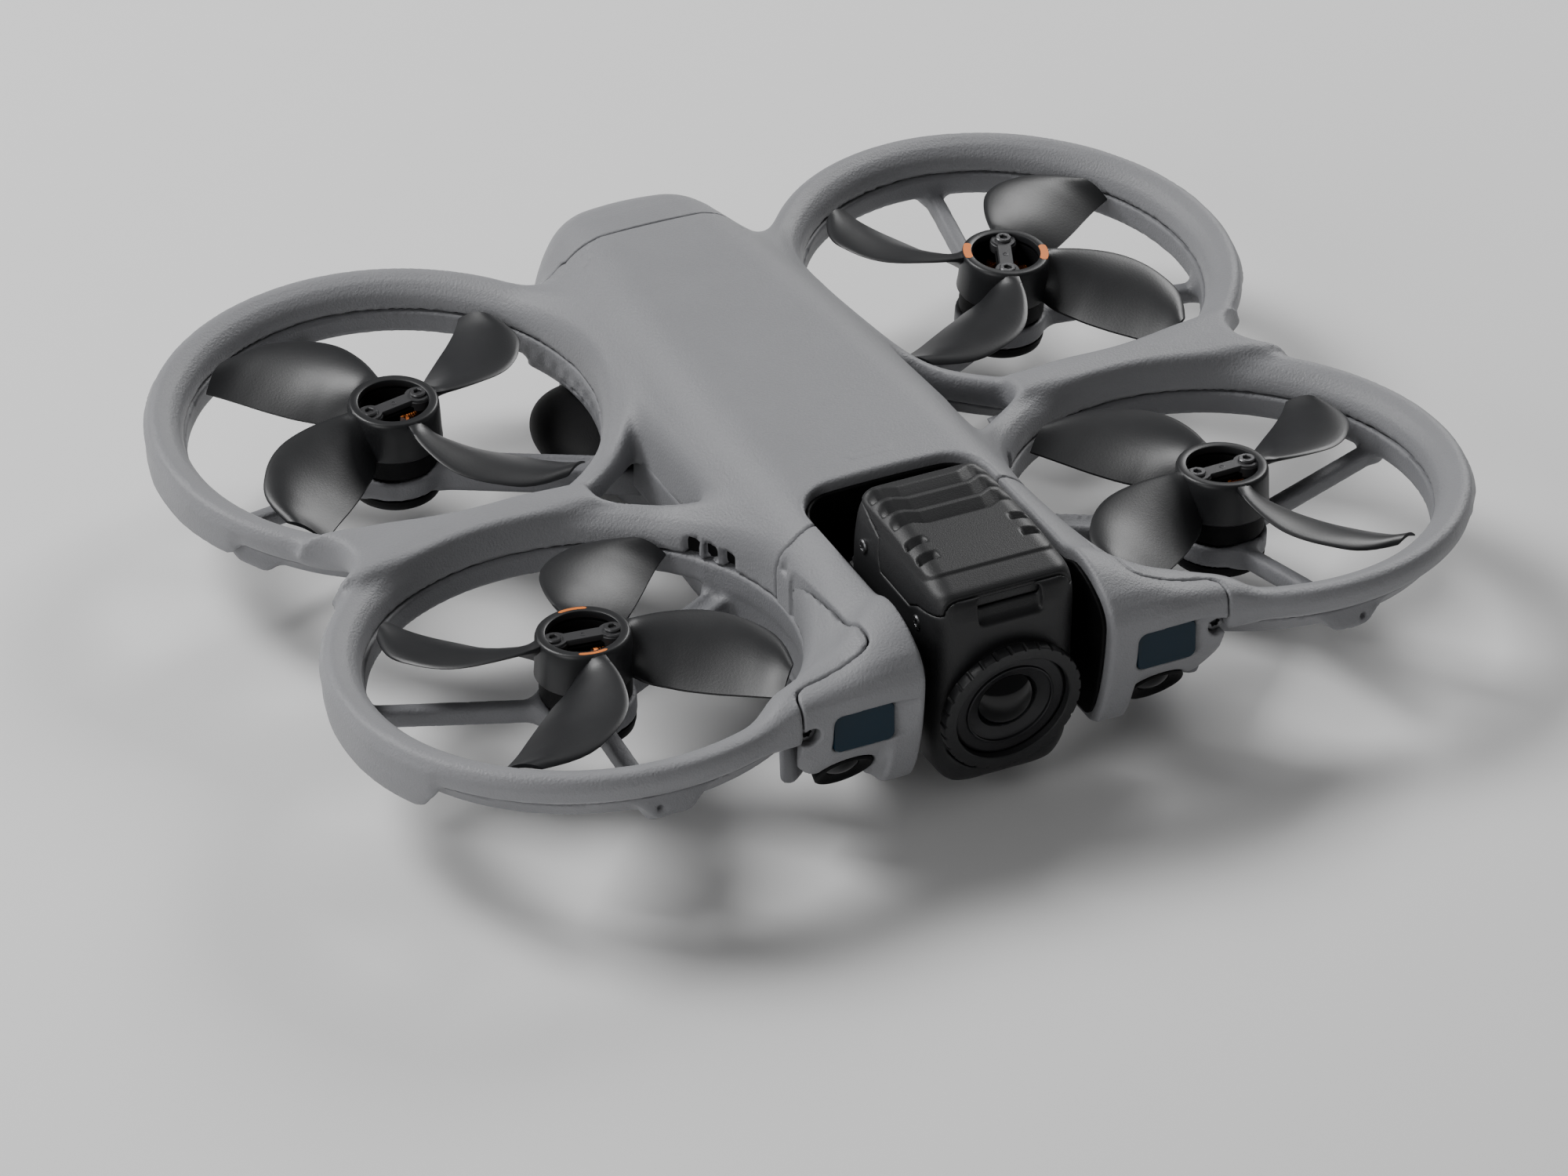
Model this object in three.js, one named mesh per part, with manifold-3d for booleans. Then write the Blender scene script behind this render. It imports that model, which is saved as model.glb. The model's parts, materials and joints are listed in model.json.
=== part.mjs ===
// Four-duct camera drone: a moulded top shell and lower frame carry four ducted rotors, a two-lens
// camera pod that tilts between two front prongs, and a battery that slides out at the back.
// Millimetres, +Z up, -Y forward. The drone rests on its two belly pads at z = 0.
// Pieces are written in hub coordinates, whose z = 0 is the top face of the front propeller hubs,
// and the whole group is lifted by PADS_TO_HUB at the end. Neighbours keep a GAP between them.
import * as THREE from "three";
import { ConvexGeometry } from "three/addons/geometries/ConvexGeometry.js";
import { mergeVertices } from "three/addons/utils/BufferGeometryUtils.js";
import Module from "manifold-3d";

// ---- driving dimensions ----
const PADS_TO_HUB = 36; // pads' underside to the front hub tops
const GAP = 0.3; // clearance between pieces that touch
const MOTOR_X = 72; // motor axes from the centre line
const MOTOR_Y = 48; // motor axes from the middle, fore and aft
const REAR_HUB_DROP = 1.4; // the rear hubs sit this much lower
const LEAN_OUT = 1.4; // degrees, each rotor axis away from the body
const LEAN_IN = 2.7; // degrees, front axes backwards and rear axes forwards
const DUCT_R = 43.4; // inner lip of a duct
const DUCT_OUTER_R = 51.9; // outer bulge of a duct
const BLADE_TIP_R = 41.9; // propeller radius
const HUB_R = 9.6; // propeller hub
const SHELL_WALL = 2;
const SEAM_Z = -7.4; // parting plane of top shell and lower frame
const BAY_HALF = 20.4; // camera bay, half its width
const BAY_BACK_Y = -35.5; // camera bay, its rear wall
const COVER_BACK_Y = -46.5; // rear end of the prong covers
const TAIL_SEAM_Y = 77; // front edge of the battery's tail
const BELLY_Z = -34.6; // underside of the belly
const PIVOT_Y = -66; // camera tilt axis
const PIVOT_Z = -5;
const POD_HALF = 17.3; // camera pod, half its width

// ---- finishes ----
const finish = (color, roughness, metalness = 0) => ({ color, roughness, metalness });
const GREY_SHELL = finish(0x85868a, 0.62);
const GREY_FRAME = finish(0x5d5e61, 0.66);
const CHARCOAL = finish(0x2b2c2e, 0.6);
const BLACK = finish(0x0e0e10, 0.55);
const BLADE_BLACK = finish(0x1b1c1e, 0.42);
const STEEL = finish(0x3a3a3c, 0.35, 0.9);
const COPPER = finish(0xb4622d, 0.4, 0.9);
const GLASS = finish(0x07080a, 0.06);
const WINDOW_BLUE = finish(0x0b2a3f, 0.12);
const RUBBER = finish(0x17181a, 0.85);
const BOARD_GREEN = finish(0x1f4a33, 0.6);

// ---- solids ----
const wasm = await Module();
wasm.setup();
const rad = THREE.MathUtils.degToRad;
const v2 = (x, y) => new THREE.Vector2(x, y);
const v3 = (x, y, z) => new THREE.Vector3(x, y, z);

// A closed geometry as a manifold solid. A profile drawn the other way round is turned to face out.
function solid(geometry) {
  const bare = geometry.index ? geometry.toNonIndexed() : geometry.clone();
  const g = mergeVertices(
    new THREE.BufferGeometry().setAttribute("position", bare.getAttribute("position")),
    1e-4,
  );
  const corners = new Uint32Array(g.index.array);
  const build = () =>
    new wasm.Manifold(
      new wasm.Mesh({
        numProp: 3,
        vertProperties: g.attributes.position.array,
        triVerts: corners,
      }),
    );
  const made = build();
  if (made.volume() >= 0) return made;
  for (let i = 0; i < corners.length; i += 3) {
    const first = corners[i];
    corners[i] = corners[i + 1];
    corners[i + 1] = first;
  }
  return build();
}

function geometryOf(manifold) {
  const { numProp, numVert, vertProperties, triVerts } = manifold.getMesh();
  const place = new Float32Array(numVert * 3);
  for (let i = 0; i < numVert; i++) {
    place.set(vertProperties.subarray(i * numProp, i * numProp + 3), i * 3);
  }
  return new THREE.BufferGeometry()
    .setAttribute("position", new THREE.BufferAttribute(place, 3))
    .setIndex(new THREE.BufferAttribute(triVerts, 1));
}

const join = (...parts) => parts.reduce((sum, part) => sum.add(part));
const cut = (body, ...tools) => tools.reduce((left, tool) => left.subtract(tool), body);

// A ring or disc about Z from its [radius, z] profile, which three.js turns about Y before the
// quarter turn that sends +Y to +Z. An open profile starts and ends on the axis.
function turned(profile, segments = 32) {
  const points = profile.map(([r, z]) => v2(r, z));
  return solid(new THREE.LatheGeometry(points, segments).rotateX(Math.PI / 2));
}

// The same with the profile closed on itself, for rings.
const turnedRing = (profile, segments) => turned([...profile, profile[0]], segments);

const disc = (r, low, high, segments = 24) =>
  turned([[0, low], [r, low], [r, high], [0, high]], segments);

const tube = (inner, outer, low, high, segments = 24) =>
  turnedRing([[inner, low], [outer, low], [outer, high], [inner, high]], segments);

function box(low, high) {
  const size = low.map((v, i) => high[i] - v);
  const middle = low.map((v, i) => (high[i] + v) / 2);
  return solid(new THREE.BoxGeometry(...size).translate(...middle));
}

const hull = (points) => solid(new ConvexGeometry(points.map((p) => v3(...p))));

// An outline in the XY plane, raised from z = low to z = high.
function raised(shape, low, high, curveSegments = 3) {
  const depth = high - low;
  const g = new THREE.ExtrudeGeometry(shape, { depth, bevelEnabled: false, curveSegments });
  return solid(g.translate(0, 0, low));
}

// An outline in the YZ plane, spread from x = -half to x = half.
function spread(outline, half) {
  const shape = new THREE.Shape(outline.map(([y, z]) => v2(y, z)));
  const g = new THREE.ExtrudeGeometry(shape, { depth: 2 * half, bevelEnabled: false });
  const turn = new THREE.Matrix4().makeBasis(v3(0, 1, 0), v3(0, 0, 1), v3(1, 0, 0));
  return solid(g.applyMatrix4(turn).translate(-half, 0, 0));
}

// A rod along X.
function crossRod(r, x0, x1, y, z, segments = 20) {
  const g = new THREE.CylinderGeometry(r, r, Math.abs(x1 - x0), segments).rotateZ(Math.PI / 2);
  return solid(g.translate((x0 + x1) / 2, y, z));
}

// Closed skin over sections that all have the same number of corners.
function loft(sections) {
  const n = sections[0].length;
  const place = sections.flat(2);
  const faces = [];
  for (let s = 0; s + 1 < sections.length; s++) {
    for (let i = 0; i < n; i++) {
      const a = s * n + i;
      const b = s * n + ((i + 1) % n);
      faces.push(a, b, b + n, a, b + n, a + n);
    }
  }
  const last = (sections.length - 1) * n;
  for (let i = 1; i + 1 < n; i++) {
    faces.push(0, i + 1, i);
    faces.push(last, last + i, last + i + 1);
  }
  return solid(
    new THREE.BufferGeometry()
      .setAttribute("position", new THREE.Float32BufferAttribute(place, 3))
      .setIndex(faces),
  );
}

const drone = new THREE.Group();

// Adds one named piece, without the slivers that cuts through curved walls leave behind.
const SLIVER = 0.02;
function piece(group, name, manifold, { color, roughness, metalness }) {
  const material = new THREE.MeshStandardMaterial({ color, roughness, metalness });
  const mesh = new THREE.Mesh(geometryOf(manifold.simplify(SLIVER)), material);
  mesh.name = name;
  group.add(mesh);
  return mesh;
}

// ---- the four corners ----
const corners = [
  { tag: "front_left", sx: -1, sy: -1, clockwise: false, rest: -9.5 },
  { tag: "front_right", sx: 1, sy: -1, clockwise: true, rest: 3.5 },
  { tag: "rear_left", sx: -1, sy: 1, clockwise: true, rest: 10 },
  { tag: "rear_right", sx: 1, sy: 1, clockwise: false, rest: 67 },
];

// Where a corner's rotor axis stands: origin on its hub top, z along the axis.
function cornerMatrix({ sx, sy }) {
  const lean = new THREE.Euler(sy * rad(LEAN_IN), sx * rad(LEAN_OUT), 0);
  const turn = new THREE.Matrix4().makeRotationFromEuler(lean);
  const hubZ = sy > 0 ? -REAR_HUB_DROP : 0;
  return turn.setPosition(sx * MOTOR_X, sy * MOTOR_Y, hubZ);
}

const toBody = (part, corner) => part.transform(cornerMatrix(corner).toArray());

// ---- body outline ----
// Half-sections of the spine from nose to tail: crown height, crown half-width, skirt half-width.
const SPINE = [
  { y: COVER_BACK_Y, crown: 11, flat: 22.9, skirt: 31 },
  { y: -30, crown: 11.6, flat: 22.3, skirt: 32 },
  { y: -8, crown: 11.7, flat: 21.6, skirt: 33 },
  { y: 18, crown: 11.4, flat: 20.4, skirt: 31.5 },
  { y: 48, crown: 10.6, flat: 18.2, skirt: 30 },
  { y: 72, crown: 9, flat: 16.2, skirt: 27.5 },
  { y: 86, crown: 7, flat: 15.4, skirt: 24 },
  { y: 93, crown: 5, flat: 14, skirt: 20.5 },
  { y: 96.6, crown: 1.5, flat: 11.5, skirt: 17.5 },
];

// One closed section of the spine, grown outwards by a margin, from the crown down to a floor.
function spineSection({ y, crown, flat, skirt }, margin, floor) {
  const half = [
    [flat - 4, crown + margin],
    [flat + margin * 0.5, crown - 1.4 + margin * 0.5],
    [flat + 2.4 + margin, crown - 5],
    [skirt - 2.2 + margin, -2.6],
    [skirt + margin, SEAM_Z],
    [skirt + margin, floor],
  ];
  const left = half.map(([x, z]) => [-x, y, z]).reverse();
  return [...half.map(([x, z]) => [x, y, z]), ...left].reverse();
}

// The spine between two stations, cutting the station list at both ends.
function spineLoft(margin, floor, from, to) {
  const mix = (a, b, t, key) => a[key] + (b[key] - a[key]) * t;
  const at = (y) => {
    const i = Math.max(1, SPINE.findIndex((s) => s.y >= y));
    const [a, b] = [SPINE[i - 1], SPINE[i]];
    const t = (y - a.y) / (b.y - a.y);
    return { y, crown: mix(a, b, t, "crown"), flat: mix(a, b, t, "flat"), skirt: mix(a, b, t, "skirt") };
  };
  const inside = SPINE.filter((s) => s.y > from && s.y < to);
  const stations = [at(from), ...inside, at(to)];
  return loft(stations.map((s) => spineSection(s, margin, floor)));
}

// The camera bay seen from above, open towards the nose, with round inner corners.
function bayCut(margin) {
  const half = BAY_HALF + margin;
  const back = BAY_BACK_Y + margin;
  const corner = 8;
  const shape = new THREE.Shape();
  shape.moveTo(-half, -120);
  shape.lineTo(half, -120);
  shape.lineTo(half, back - corner);
  shape.absarc(half - corner, back - corner, corner, 0, Math.PI / 2);
  shape.absarc(-half + corner, back - corner, corner, Math.PI / 2, Math.PI);
  shape.closePath();
  return raised(shape, -60, 40, 6);
}

// The front prongs, which carry the bay's sides and the forward sensors. side is -1 or 1.
const PRONG_NOSE_Y = -96;
function prongOutline(side, margin) {
  const inner = BAY_HALF + 0.1 - margin;
  const strip = (y, top, outer) => [
    [side * inner, y, -23.5 - margin],
    [side * inner, y, top + margin],
    [side * (24.5 + margin), y, top + margin],
    [side * (outer + margin), y, top - 9],
    [side * (outer + margin), y, -16 - margin],
    [side * (outer - 3), y, -23.5 - margin],
  ];
  const back = COVER_BACK_Y - GAP + margin;
  const beam = hull([...strip(back, 10.4, 31), ...strip(-70, 9.6, 31), ...strip(-82, 8.4, 32)]);
  const [low, high] = [side * inner, side * (27 + margin)].sort((a, b) => a - b);
  const keelBack = BAY_BACK_Y - GAP + margin;
  const keel = box([low, -60, -23.5 - margin], [high, keelBack, SEAM_Z - 0.5]);
  const nose = hull([
    ...strip(-80, 8.6, 32),
    ...strip(-90, 6.6, 36),
    ...[[6, -91], [3, -95], [-2, PRONG_NOSE_Y], [-14, -95.4], [-23.5, -90.5]].flatMap(([z, y]) => [
      [side * inner, y - margin, z],
      [side * (34 + margin), y - margin, Math.min(z, 1)],
    ]),
    [side * (49 + margin), -93.5 - margin, -1.5],
    [side * (49 + margin), -93.5 - margin, -7],
    [side * (46 + margin), -84, -2],
    [side * (46 + margin), -84, -8],
    [side * 40, -88, -22],
    [side * 36, -82, -23.5],
  ]);
  return join(beam, nose, keel);
}

const ductBore = (radius, corner) => toBody(disc(radius, -60, 40, DUCT_SEGMENTS), corner);

// ---- ducts ----
// The lip belongs to the top shell and the low wall to the frame; both are [radius, z] sections.
const LIP = [
  [DUCT_R, SEAM_Z + 0.15], [DUCT_R, -6], [45.4, -2.9], [49.6, -0.8],
  [51.3, -1.6], [DUCT_OUTER_R, -3.8], [49.8, SEAM_Z + 0.15],
];
const WALL = [
  [43.8, SEAM_Z - 0.15], [43.8, -12.8], [45.8, -12.6], [47.8, -10], [49.4, SEAM_Z - 0.15],
];
// The room a low wall needs, which other pieces leave free.
const WALL_ROOM = [
  [43.4, SEAM_Z + 0.2], [43.4, -13.2], [46, -13], [48.2, -10.2], [49.8, SEAM_Z + 0.2],
];
const DUCT_SEGMENTS = 28;

// The web where a front and a rear duct meet: it fills the two notches between their circles with
// arcs that touch both. Outer and inner arc centres follow from the tangent-circle condition.
function gusset(side) {
  const across = (tip, sign) => {
    const reach = (DUCT_OUTER_R ** 2 - MOTOR_Y ** 2 - (sign * (tip - MOTOR_X)) ** 2)
      / (2 * (sign * (tip - MOTOR_X) - DUCT_OUTER_R));
    const centre = tip + sign * reach;
    const angle = Math.atan2(MOTOR_Y, MOTOR_X - centre);
    return { centre, reach, angle };
  };
  const outer = across(102, 1);
  const inner = across(48, -1);
  const shape = new THREE.Shape();
  shape.absarc(inner.centre, 0, inner.reach, inner.angle, -inner.angle, true);
  shape.absarc(outer.centre, 0, outer.reach, -outer.angle, outer.angle, true);
  shape.closePath();
  const plate = raised(shape, SEAM_Z + 0.15, -3, 6);
  return side > 0 ? plate : plate.mirror([1, 0, 0]);
}

// Keeps the half of a duct piece on its own side of the middle.
const halfSpace = (sy) => box([-200, sy > 0 ? 0.15 : -200, -100], [200, sy > 0 ? 200 : -0.15, 100]);

// The body and both prongs, grown by the gap: what a duct piece has to stay clear of.
const bodyKeepOut = join(
  spineLoft(GAP, SEAM_Z - GAP, COVER_BACK_Y, 96.5),
  prongOutline(-1, GAP),
  prongOutline(1, GAP),
  bayCut(GAP),
  bellyHull(GAP),
);

function guardRing(corner) {
  const ring = toBody(turnedRing(LIP, DUCT_SEGMENTS), corner);
  const neighbour = { ...corner, sy: -corner.sy };
  const bores = [corner, neighbour].map((where) => ductBore(DUCT_R + 2.5, where));
  const web = cut(gusset(corner.sx), ...bores);
  return cut(ring.add(web).intersect(halfSpace(corner.sy)), bodyKeepOut);
}

// ---- lower frame at one corner: low wall, motor cup, one wide arm to the body, two thin struts ----
const CUP_R = 10;
const CUP_TOP = -14.6;
const CUP_BOTTOM = -22;
const ARM_ANGLE = 152; // degrees from +X on the front right corner, towards the body
const STRUT_ANGLES = [15, -83]; // the same for the two struts
const ARM_REACH = 53;

function ductFrame(corner) {
  const bar = (angle, length, width, low, high) => {
    const flat = box([0, -width / 2, low], [length, width / 2, high]);
    return flat.rotate([0, 0, angle]);
  };
  const post = (angle) => box([43.9, -2.2, -20], [47.2, 2.2, -11]).rotate([0, 0, angle]);
  // drawn for the front right corner, then mirrored to the others
  const spokes = join(
    bar(ARM_ANGLE, ARM_REACH, 7, -21, -14.6),
    ...STRUT_ANGLES.map((angle) => bar(angle, 46.5, 3.6, -20.2, -15.4)),
    ...STRUT_ANGLES.map(post),
    post(ARM_ANGLE),
  );
  const cup = turned(
    [[0, CUP_BOTTOM], [CUP_R - 1.2, CUP_BOTTOM], [CUP_R, -19.4], [CUP_R, CUP_TOP],
      [8.6, CUP_TOP], [8.6, -16.4], [0, -16.4]], 16,
  );
  const hollow = disc(8.6, -16.4, -10, 16);
  const foot = hull([
    [-7, -46, -11], [7, -46, -11], [-7, -50.5, -9], [7, -50.5, -9], [-2.5, -45.5, -16],
    [2.5, -45.5, -16], [-2.5, -48.5, -15.6], [2.5, -48.5, -15.6],
  ]).rotate([0, 0, 4]);
  const drawn = join(cut(spokes, hollow), cup, cut(foot, disc(43.9, -30, 0, DUCT_SEGMENTS)));
  const handed = corner.sx > 0 ? drawn : drawn.mirror([1, 0, 0]);
  const placed = toBody(corner.sy < 0 ? handed : handed.mirror([0, 1, 0]), corner);
  const wall = toBody(turnedRing(WALL, DUCT_SEGMENTS), corner);
  return cut(placed, bellyHull(GAP)).add(wall).intersect(halfSpace(corner.sy));
}

// ---- belly ----
function bellyHull(margin) {
  const ring = (y, half, low) => [
    [half + margin, y, SEAM_Z - 0.15], [half + margin, y, -26], [half - 5 + margin, y, low - margin],
    [-half + 5 - margin, y, low - margin], [-half - margin, y, -26], [-half - margin, y, SEAM_Z - 0.15],
  ];
  return loft([
    ring(BAY_BACK_Y - margin, 27, BELLY_Z + 3),
    ring(-26, 27, BELLY_Z),
    ring(62, 25.5, BELLY_Z),
    ring(78 + margin, 22, BELLY_Z + 4),
  ]);
}

const wallKeepOut = corners.map((corner) =>
  toBody(turnedRing(WALL_ROOM, DUCT_SEGMENTS), corner));
const ductSpace = corners.map((corner) => ductBore(DUCT_R + 0.4, corner));

const BATTERY_HALF = 16.5;
const BATTERY_LOW = -29;
const BATTERY_HIGH = 5;
const BATTERY_NOSE_Y = 12;

function bellyShell() {
  const cavity = box([-20.5, BAY_BACK_Y + SHELL_WALL, BELLY_Z + 3.5], [20.5, 120, 0]);
  const ventSlots = [-1, 1].flatMap((side) =>
    [34, 42, 50, 58].map((y) => box([side > 0 ? 17 : -30, y, -20], [side > 0 ? 30 : -17, y + 5, -14])));
  const hole = raised(roundedRect(12, 7, 3), BELLY_Z - 1, BELLY_Z + 5).translate([0, -14, 0]);
  return cut(bellyHull(0), cavity, ...wallKeepOut, ...ductSpace, ...ventSlots, hole, portHole(0));
}

function roundedRect(halfX, halfY, r) {
  const s = new THREE.Shape();
  s.absarc(halfX - r, halfY - r, r, 0, Math.PI / 2);
  s.absarc(-halfX + r, halfY - r, r, Math.PI / 2, Math.PI);
  s.absarc(-halfX + r, -halfY + r, r, Math.PI, 1.5 * Math.PI);
  s.absarc(halfX - r, -halfY + r, r, 1.5 * Math.PI, 2 * Math.PI);
  s.closePath();
  return s;
}

// Opening for the data port and card slot in the belly's left side, under the side window.
const PORT = { y0: -8, y1: 8, low: -24, high: -15, face: -27 };
const portHole = (margin) =>
  box([-30, PORT.y0 - margin, PORT.low - margin], [-18, PORT.y1 + margin, PORT.high + margin]);

// ---- shell pieces ----
function topShell() {
  const outside = spineLoft(0, SEAM_Z + 0.15, COVER_BACK_Y, TAIL_SEAM_Y);
  const inside = spineLoft(-SHELL_WALL, -30, BAY_BACK_Y + SHELL_WALL, TAIL_SEAM_Y);
  const room = inside.intersect(box([-20.5, -90, -30], [20.5, 120, 30]));
  return cut(outside, room, bayCut(0), ...ductSpace, ...wallKeepOut);
}
piece(drone, "top_shell", topShell(), GREY_SHELL);

for (const corner of corners) {
  piece(drone, corner.tag + "_guard_ring", guardRing(corner), GREY_SHELL);
  piece(drone, corner.tag + "_duct_frame", ductFrame(corner), GREY_FRAME);
}
piece(drone, "belly_shell", bellyShell(), BLACK);

// ---- prongs with their sensors ----
const WINDOW = { x: 33.4, z: -4.8, halfX: 6.6, halfZ: 4.3, r: 2.4 };
const EYE = { x: 34.6, y: -88.6, z: -18.6, r: 6.2 };
const PRONG_SCREW = { x: 45.1, z: -3.6, r: 1.9 };

// Stands a piece drawn along +Z on the nose, pointing forwards, or tipped down by some degrees.
const facing = (part, x, y, z, down = 0) => part.rotate([90 + down, 0, 0]).translate([x, y, z]);

for (const [word, side] of [["left", -1], ["right", 1]]) {
  const corner = corners.find((c) => c.sx === side && c.sy < 0);
  const windowPocket = facing(raised(roundedRect(WINDOW.halfX + GAP, WINDOW.halfZ + GAP, WINDOW.r), -3, 20),
    side * WINDOW.x, PRONG_NOSE_Y + 2, WINDOW.z);
  const eyePocket = facing(disc(EYE.r + GAP, -4, 12), side * EYE.x, EYE.y, EYE.z, 48);
  const screwPocket = facing(disc(PRONG_SCREW.r + GAP, -3, 12, 12), side * PRONG_SCREW.x, -93, PRONG_SCREW.z);
  const shellHook = spineLoft(GAP, -60, COVER_BACK_Y + 0.01, 90);
  const cover = cut(
    prongOutline(side, 0),
    shellHook,
    bellyHull(GAP),
    ductBore(DUCT_R + 0.4, corner),
    toBody(turnedRing(WALL_ROOM, DUCT_SEGMENTS), corner),
    windowPocket,
    eyePocket,
    screwPocket,
  );
  piece(drone, word + "_prong_cover", cover, GREY_SHELL);
  const pane = facing(raised(roundedRect(WINDOW.halfX, WINDOW.halfZ, WINDOW.r), -2.6, 0.8),
    side * WINDOW.x, PRONG_NOSE_Y + 2, WINDOW.z);
  piece(drone, word + "_ranging_window", pane, WINDOW_BLUE);
  const eye = facing(turned([[0, -3.6], [EYE.r, -3.6], [EYE.r, 0], [4.4, 1.3], [0, 2]], 20),
    side * EYE.x, EYE.y, EYE.z, 48);
  piece(drone, word + "_vision_lens", eye, GLASS);
  const screw = facing(disc(PRONG_SCREW.r, -2.6, 1, 12), side * PRONG_SCREW.x, -93, PRONG_SCREW.z);
  piece(drone, word + "_prong_screw", screw, STEEL);
}

// ---- rotors ----
// Blade sections from root to tip: radius, leading and trailing angle in degrees and height.
// The trailing edge is nearly radial; the leading edge sweeps back towards it.
const BLADE = [
  { r: 8.6, lead: -52, leadZ: -1.2, trail: -6, trailZ: -8.6, thick: 1.5 },
  { r: 12, lead: -51, leadZ: -1.0, trail: 1, trailZ: -9.2, thick: 1.4 },
  { r: 19, lead: -48, leadZ: -1.3, trail: 2, trailZ: -9.3, thick: 1.2 },
  { r: 27, lead: -42, leadZ: -2.0, trail: 0, trailZ: -9, thick: 1.1 },
  { r: 36, lead: -28.5, leadZ: -3.3, trail: -0.5, trailZ: -8.2, thick: 1.0 },
  { r: BLADE_TIP_R, lead: -12, leadZ: -4.8, trail: 0, trailZ: -7.2, thick: 0.8 },
];
const BLADE_LEAD = 38; // degrees from the screw bar to a blade's trailing edge
const CHORD_STEPS = 2;

function bladeSection({ r, lead, leadZ, trail, trailZ, thick }) {
  const upper = [];
  const lower = [];
  for (let i = 0; i <= CHORD_STEPS; i++) {
    const t = i / CHORD_STEPS;
    const angle = rad(lead + (trail - lead) * t);
    const z = leadZ + (trailZ - leadZ) * t + 1.2 * Math.sin(Math.PI * t);
    const half = (thick / 2) * (0.35 + 0.65 * Math.sin(Math.PI * Math.min(1, t + 0.15)));
    const at = (dz) => [r * Math.cos(angle), r * Math.sin(angle), z + dz];
    upper.push(at(half));
    lower.unshift(at(-half));
  }
  return [...upper, ...lower];
}

const SCREW_AT = 6; // screw centres from the rotor axis
const SCREW_HEAD_R = 1.7;

function propeller() {
  const blade = loft(BLADE.map(bladeSection));
  const blades = [0, 90, 180, 270].map((turn) => blade.rotate([0, 0, turn + BLADE_LEAD]));
  const outside = turned([[0, -9.2], [HUB_R + 0.3, -9.2], [HUB_R, 0], [0, 0]], 16);
  const core = disc(8.4, -20, -1.7, 16);
  const eye = disc(7.6, -3, 2, 16);
  const bar = box([-8, -1.5, -1.6], [8, 1.5, -0.3]);
  const eyelets = [-1, 1].map((s) => disc(2.9, -1.6, -0.3, 8).translate([s * SCREW_AT, 0, 0]));
  const holes = [-1, 1].map((s) => disc(SCREW_HEAD_R + GAP, -3, 2, 8).translate([s * SCREW_AT, 0, 0]));
  return cut(join(cut(join(outside, ...blades), core, eye), bar, ...eyelets), ...holes);
}

// Motor bell: a can round the stator, open below, its crown held by the bar's two screws.
function bell() {
  const wall = [
    [7.2, -14.2], [9.3, -14.2], [9.3, -9.6], [8.1, -9.5],
    [8.1, -2.2], [5, -2.2], [5, -3.2], [7.2, -3.2],
  ];
  const can = turnedRing(wall, 14);
  const crownBar = box([-6, -1.8, -3.2], [6, 1.8, -2.2]);
  const axle = disc(1.2, -6, -3, 6);
  return join(can, crownBar, axle);
}

function stator() {
  const post = tube(1.5, 3.2, -16.1, -6.4, 8);
  const winding = tube(3, 6.6, -13.6, -4.8, 12);
  return join(post, winding);
}

for (const corner of corners) {
  const mount = new THREE.Group();
  mount.applyMatrix4(cornerMatrix(corner));
  drone.add(mount);
  const spin = new THREE.Group();
  spin.rotation.z = rad(corner.rest);
  mount.add(spin);
  const handed = (part) => (corner.clockwise ? part : part.mirror([0, 1, 0]));
  piece(mount, corner.tag + "_stator", stator(), COPPER);
  piece(spin, corner.tag + "_motor_bell", bell(), BLACK);
  piece(spin, corner.tag + "_propeller", handed(propeller()), BLADE_BLACK);
  for (const [word, s] of [["a", -1], ["b", 1]]) {
    const screw = disc(SCREW_HEAD_R, -1.9, 0.2, 8).translate([s * SCREW_AT, 0, 0]);
    piece(spin, corner.tag + "_propeller_screw_" + word, screw, STEEL);
  }
}

// ---- camera pod ----
// Side outline of the pod: ribbed hood above, round lens drum in front and behind.
const HOOD = [
  [-90.2, 16.8], [-82.4, 18.6], [-66, 19.4], [-54, 19.6], [-50, 18.2], [-48.7, 15], [-48.7, 4], [-76, 4],
];
const DRUM = [
  [-48.7, 3.7], [-48.7, -25], [-52, -29.6], [-57, -30.6], [-86, -30.6], [-90.6, -28.6],
  [-92.8, -24], [-93, 4], [-92.8, 11], [-91.6, 15.2], [-90.7, 16.2], [-76.2, 3.7],
];
const LENS_Z = -10.8;

// The pod's upper side edges are bevelled away from its flat crown.
const bevels = [-1, 1].map((side) => hull([-120, -20].flatMap((y) => [
  [side * 14.4, y, 19.8],
  [side * 30, y, 19.8],
  [side * 30, y, 4.2],
  [side * 17.4, y, 11.5],
])));

function podHood() {
  const grooves = [-79, -74.5, -70, -65.5, -61].map((y) => box([-11.5, y, 17.4], [11.5, y + 1.8, 30]));
  return cut(spread(HOOD, POD_HALF), ...bevels, ...grooves);
}

const LENS_SEATS = [["front", -91.4, 90], ["rear", -50.3, -90]];
const onSeat = (part, y, turn) => part.rotate([turn, 0, 0]).translate([0, y, LENS_Z]);

function podHousing() {
  const bores = LENS_SEATS.map(([, y, turn]) => onSeat(disc(12.9, -2, 20, 24), y, turn));
  const thumbRecess = box([-7, -96, 10.6], [7, -90.6, 14.2]);
  return cut(spread(DRUM, POD_HALF), ...bevels, ...bores, thumbRecess);
}

// A lens ring with its bayonet rim, and the domed glass inside it.
const lensRing = turnedRing(
  [[9.9, -1.6], [12.6, -1.6], [12.6, 2], [15.6, 2], [15.6, 3.4], [12.6, 4], [9.9, 2.4]], 20,
);
const lensGlass = turned([[0, -1.4], [9.5, -1.4], [9.5, 2], [7.4, 3.6], [4, 4.9], [0, 5.4]], 20);

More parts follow.
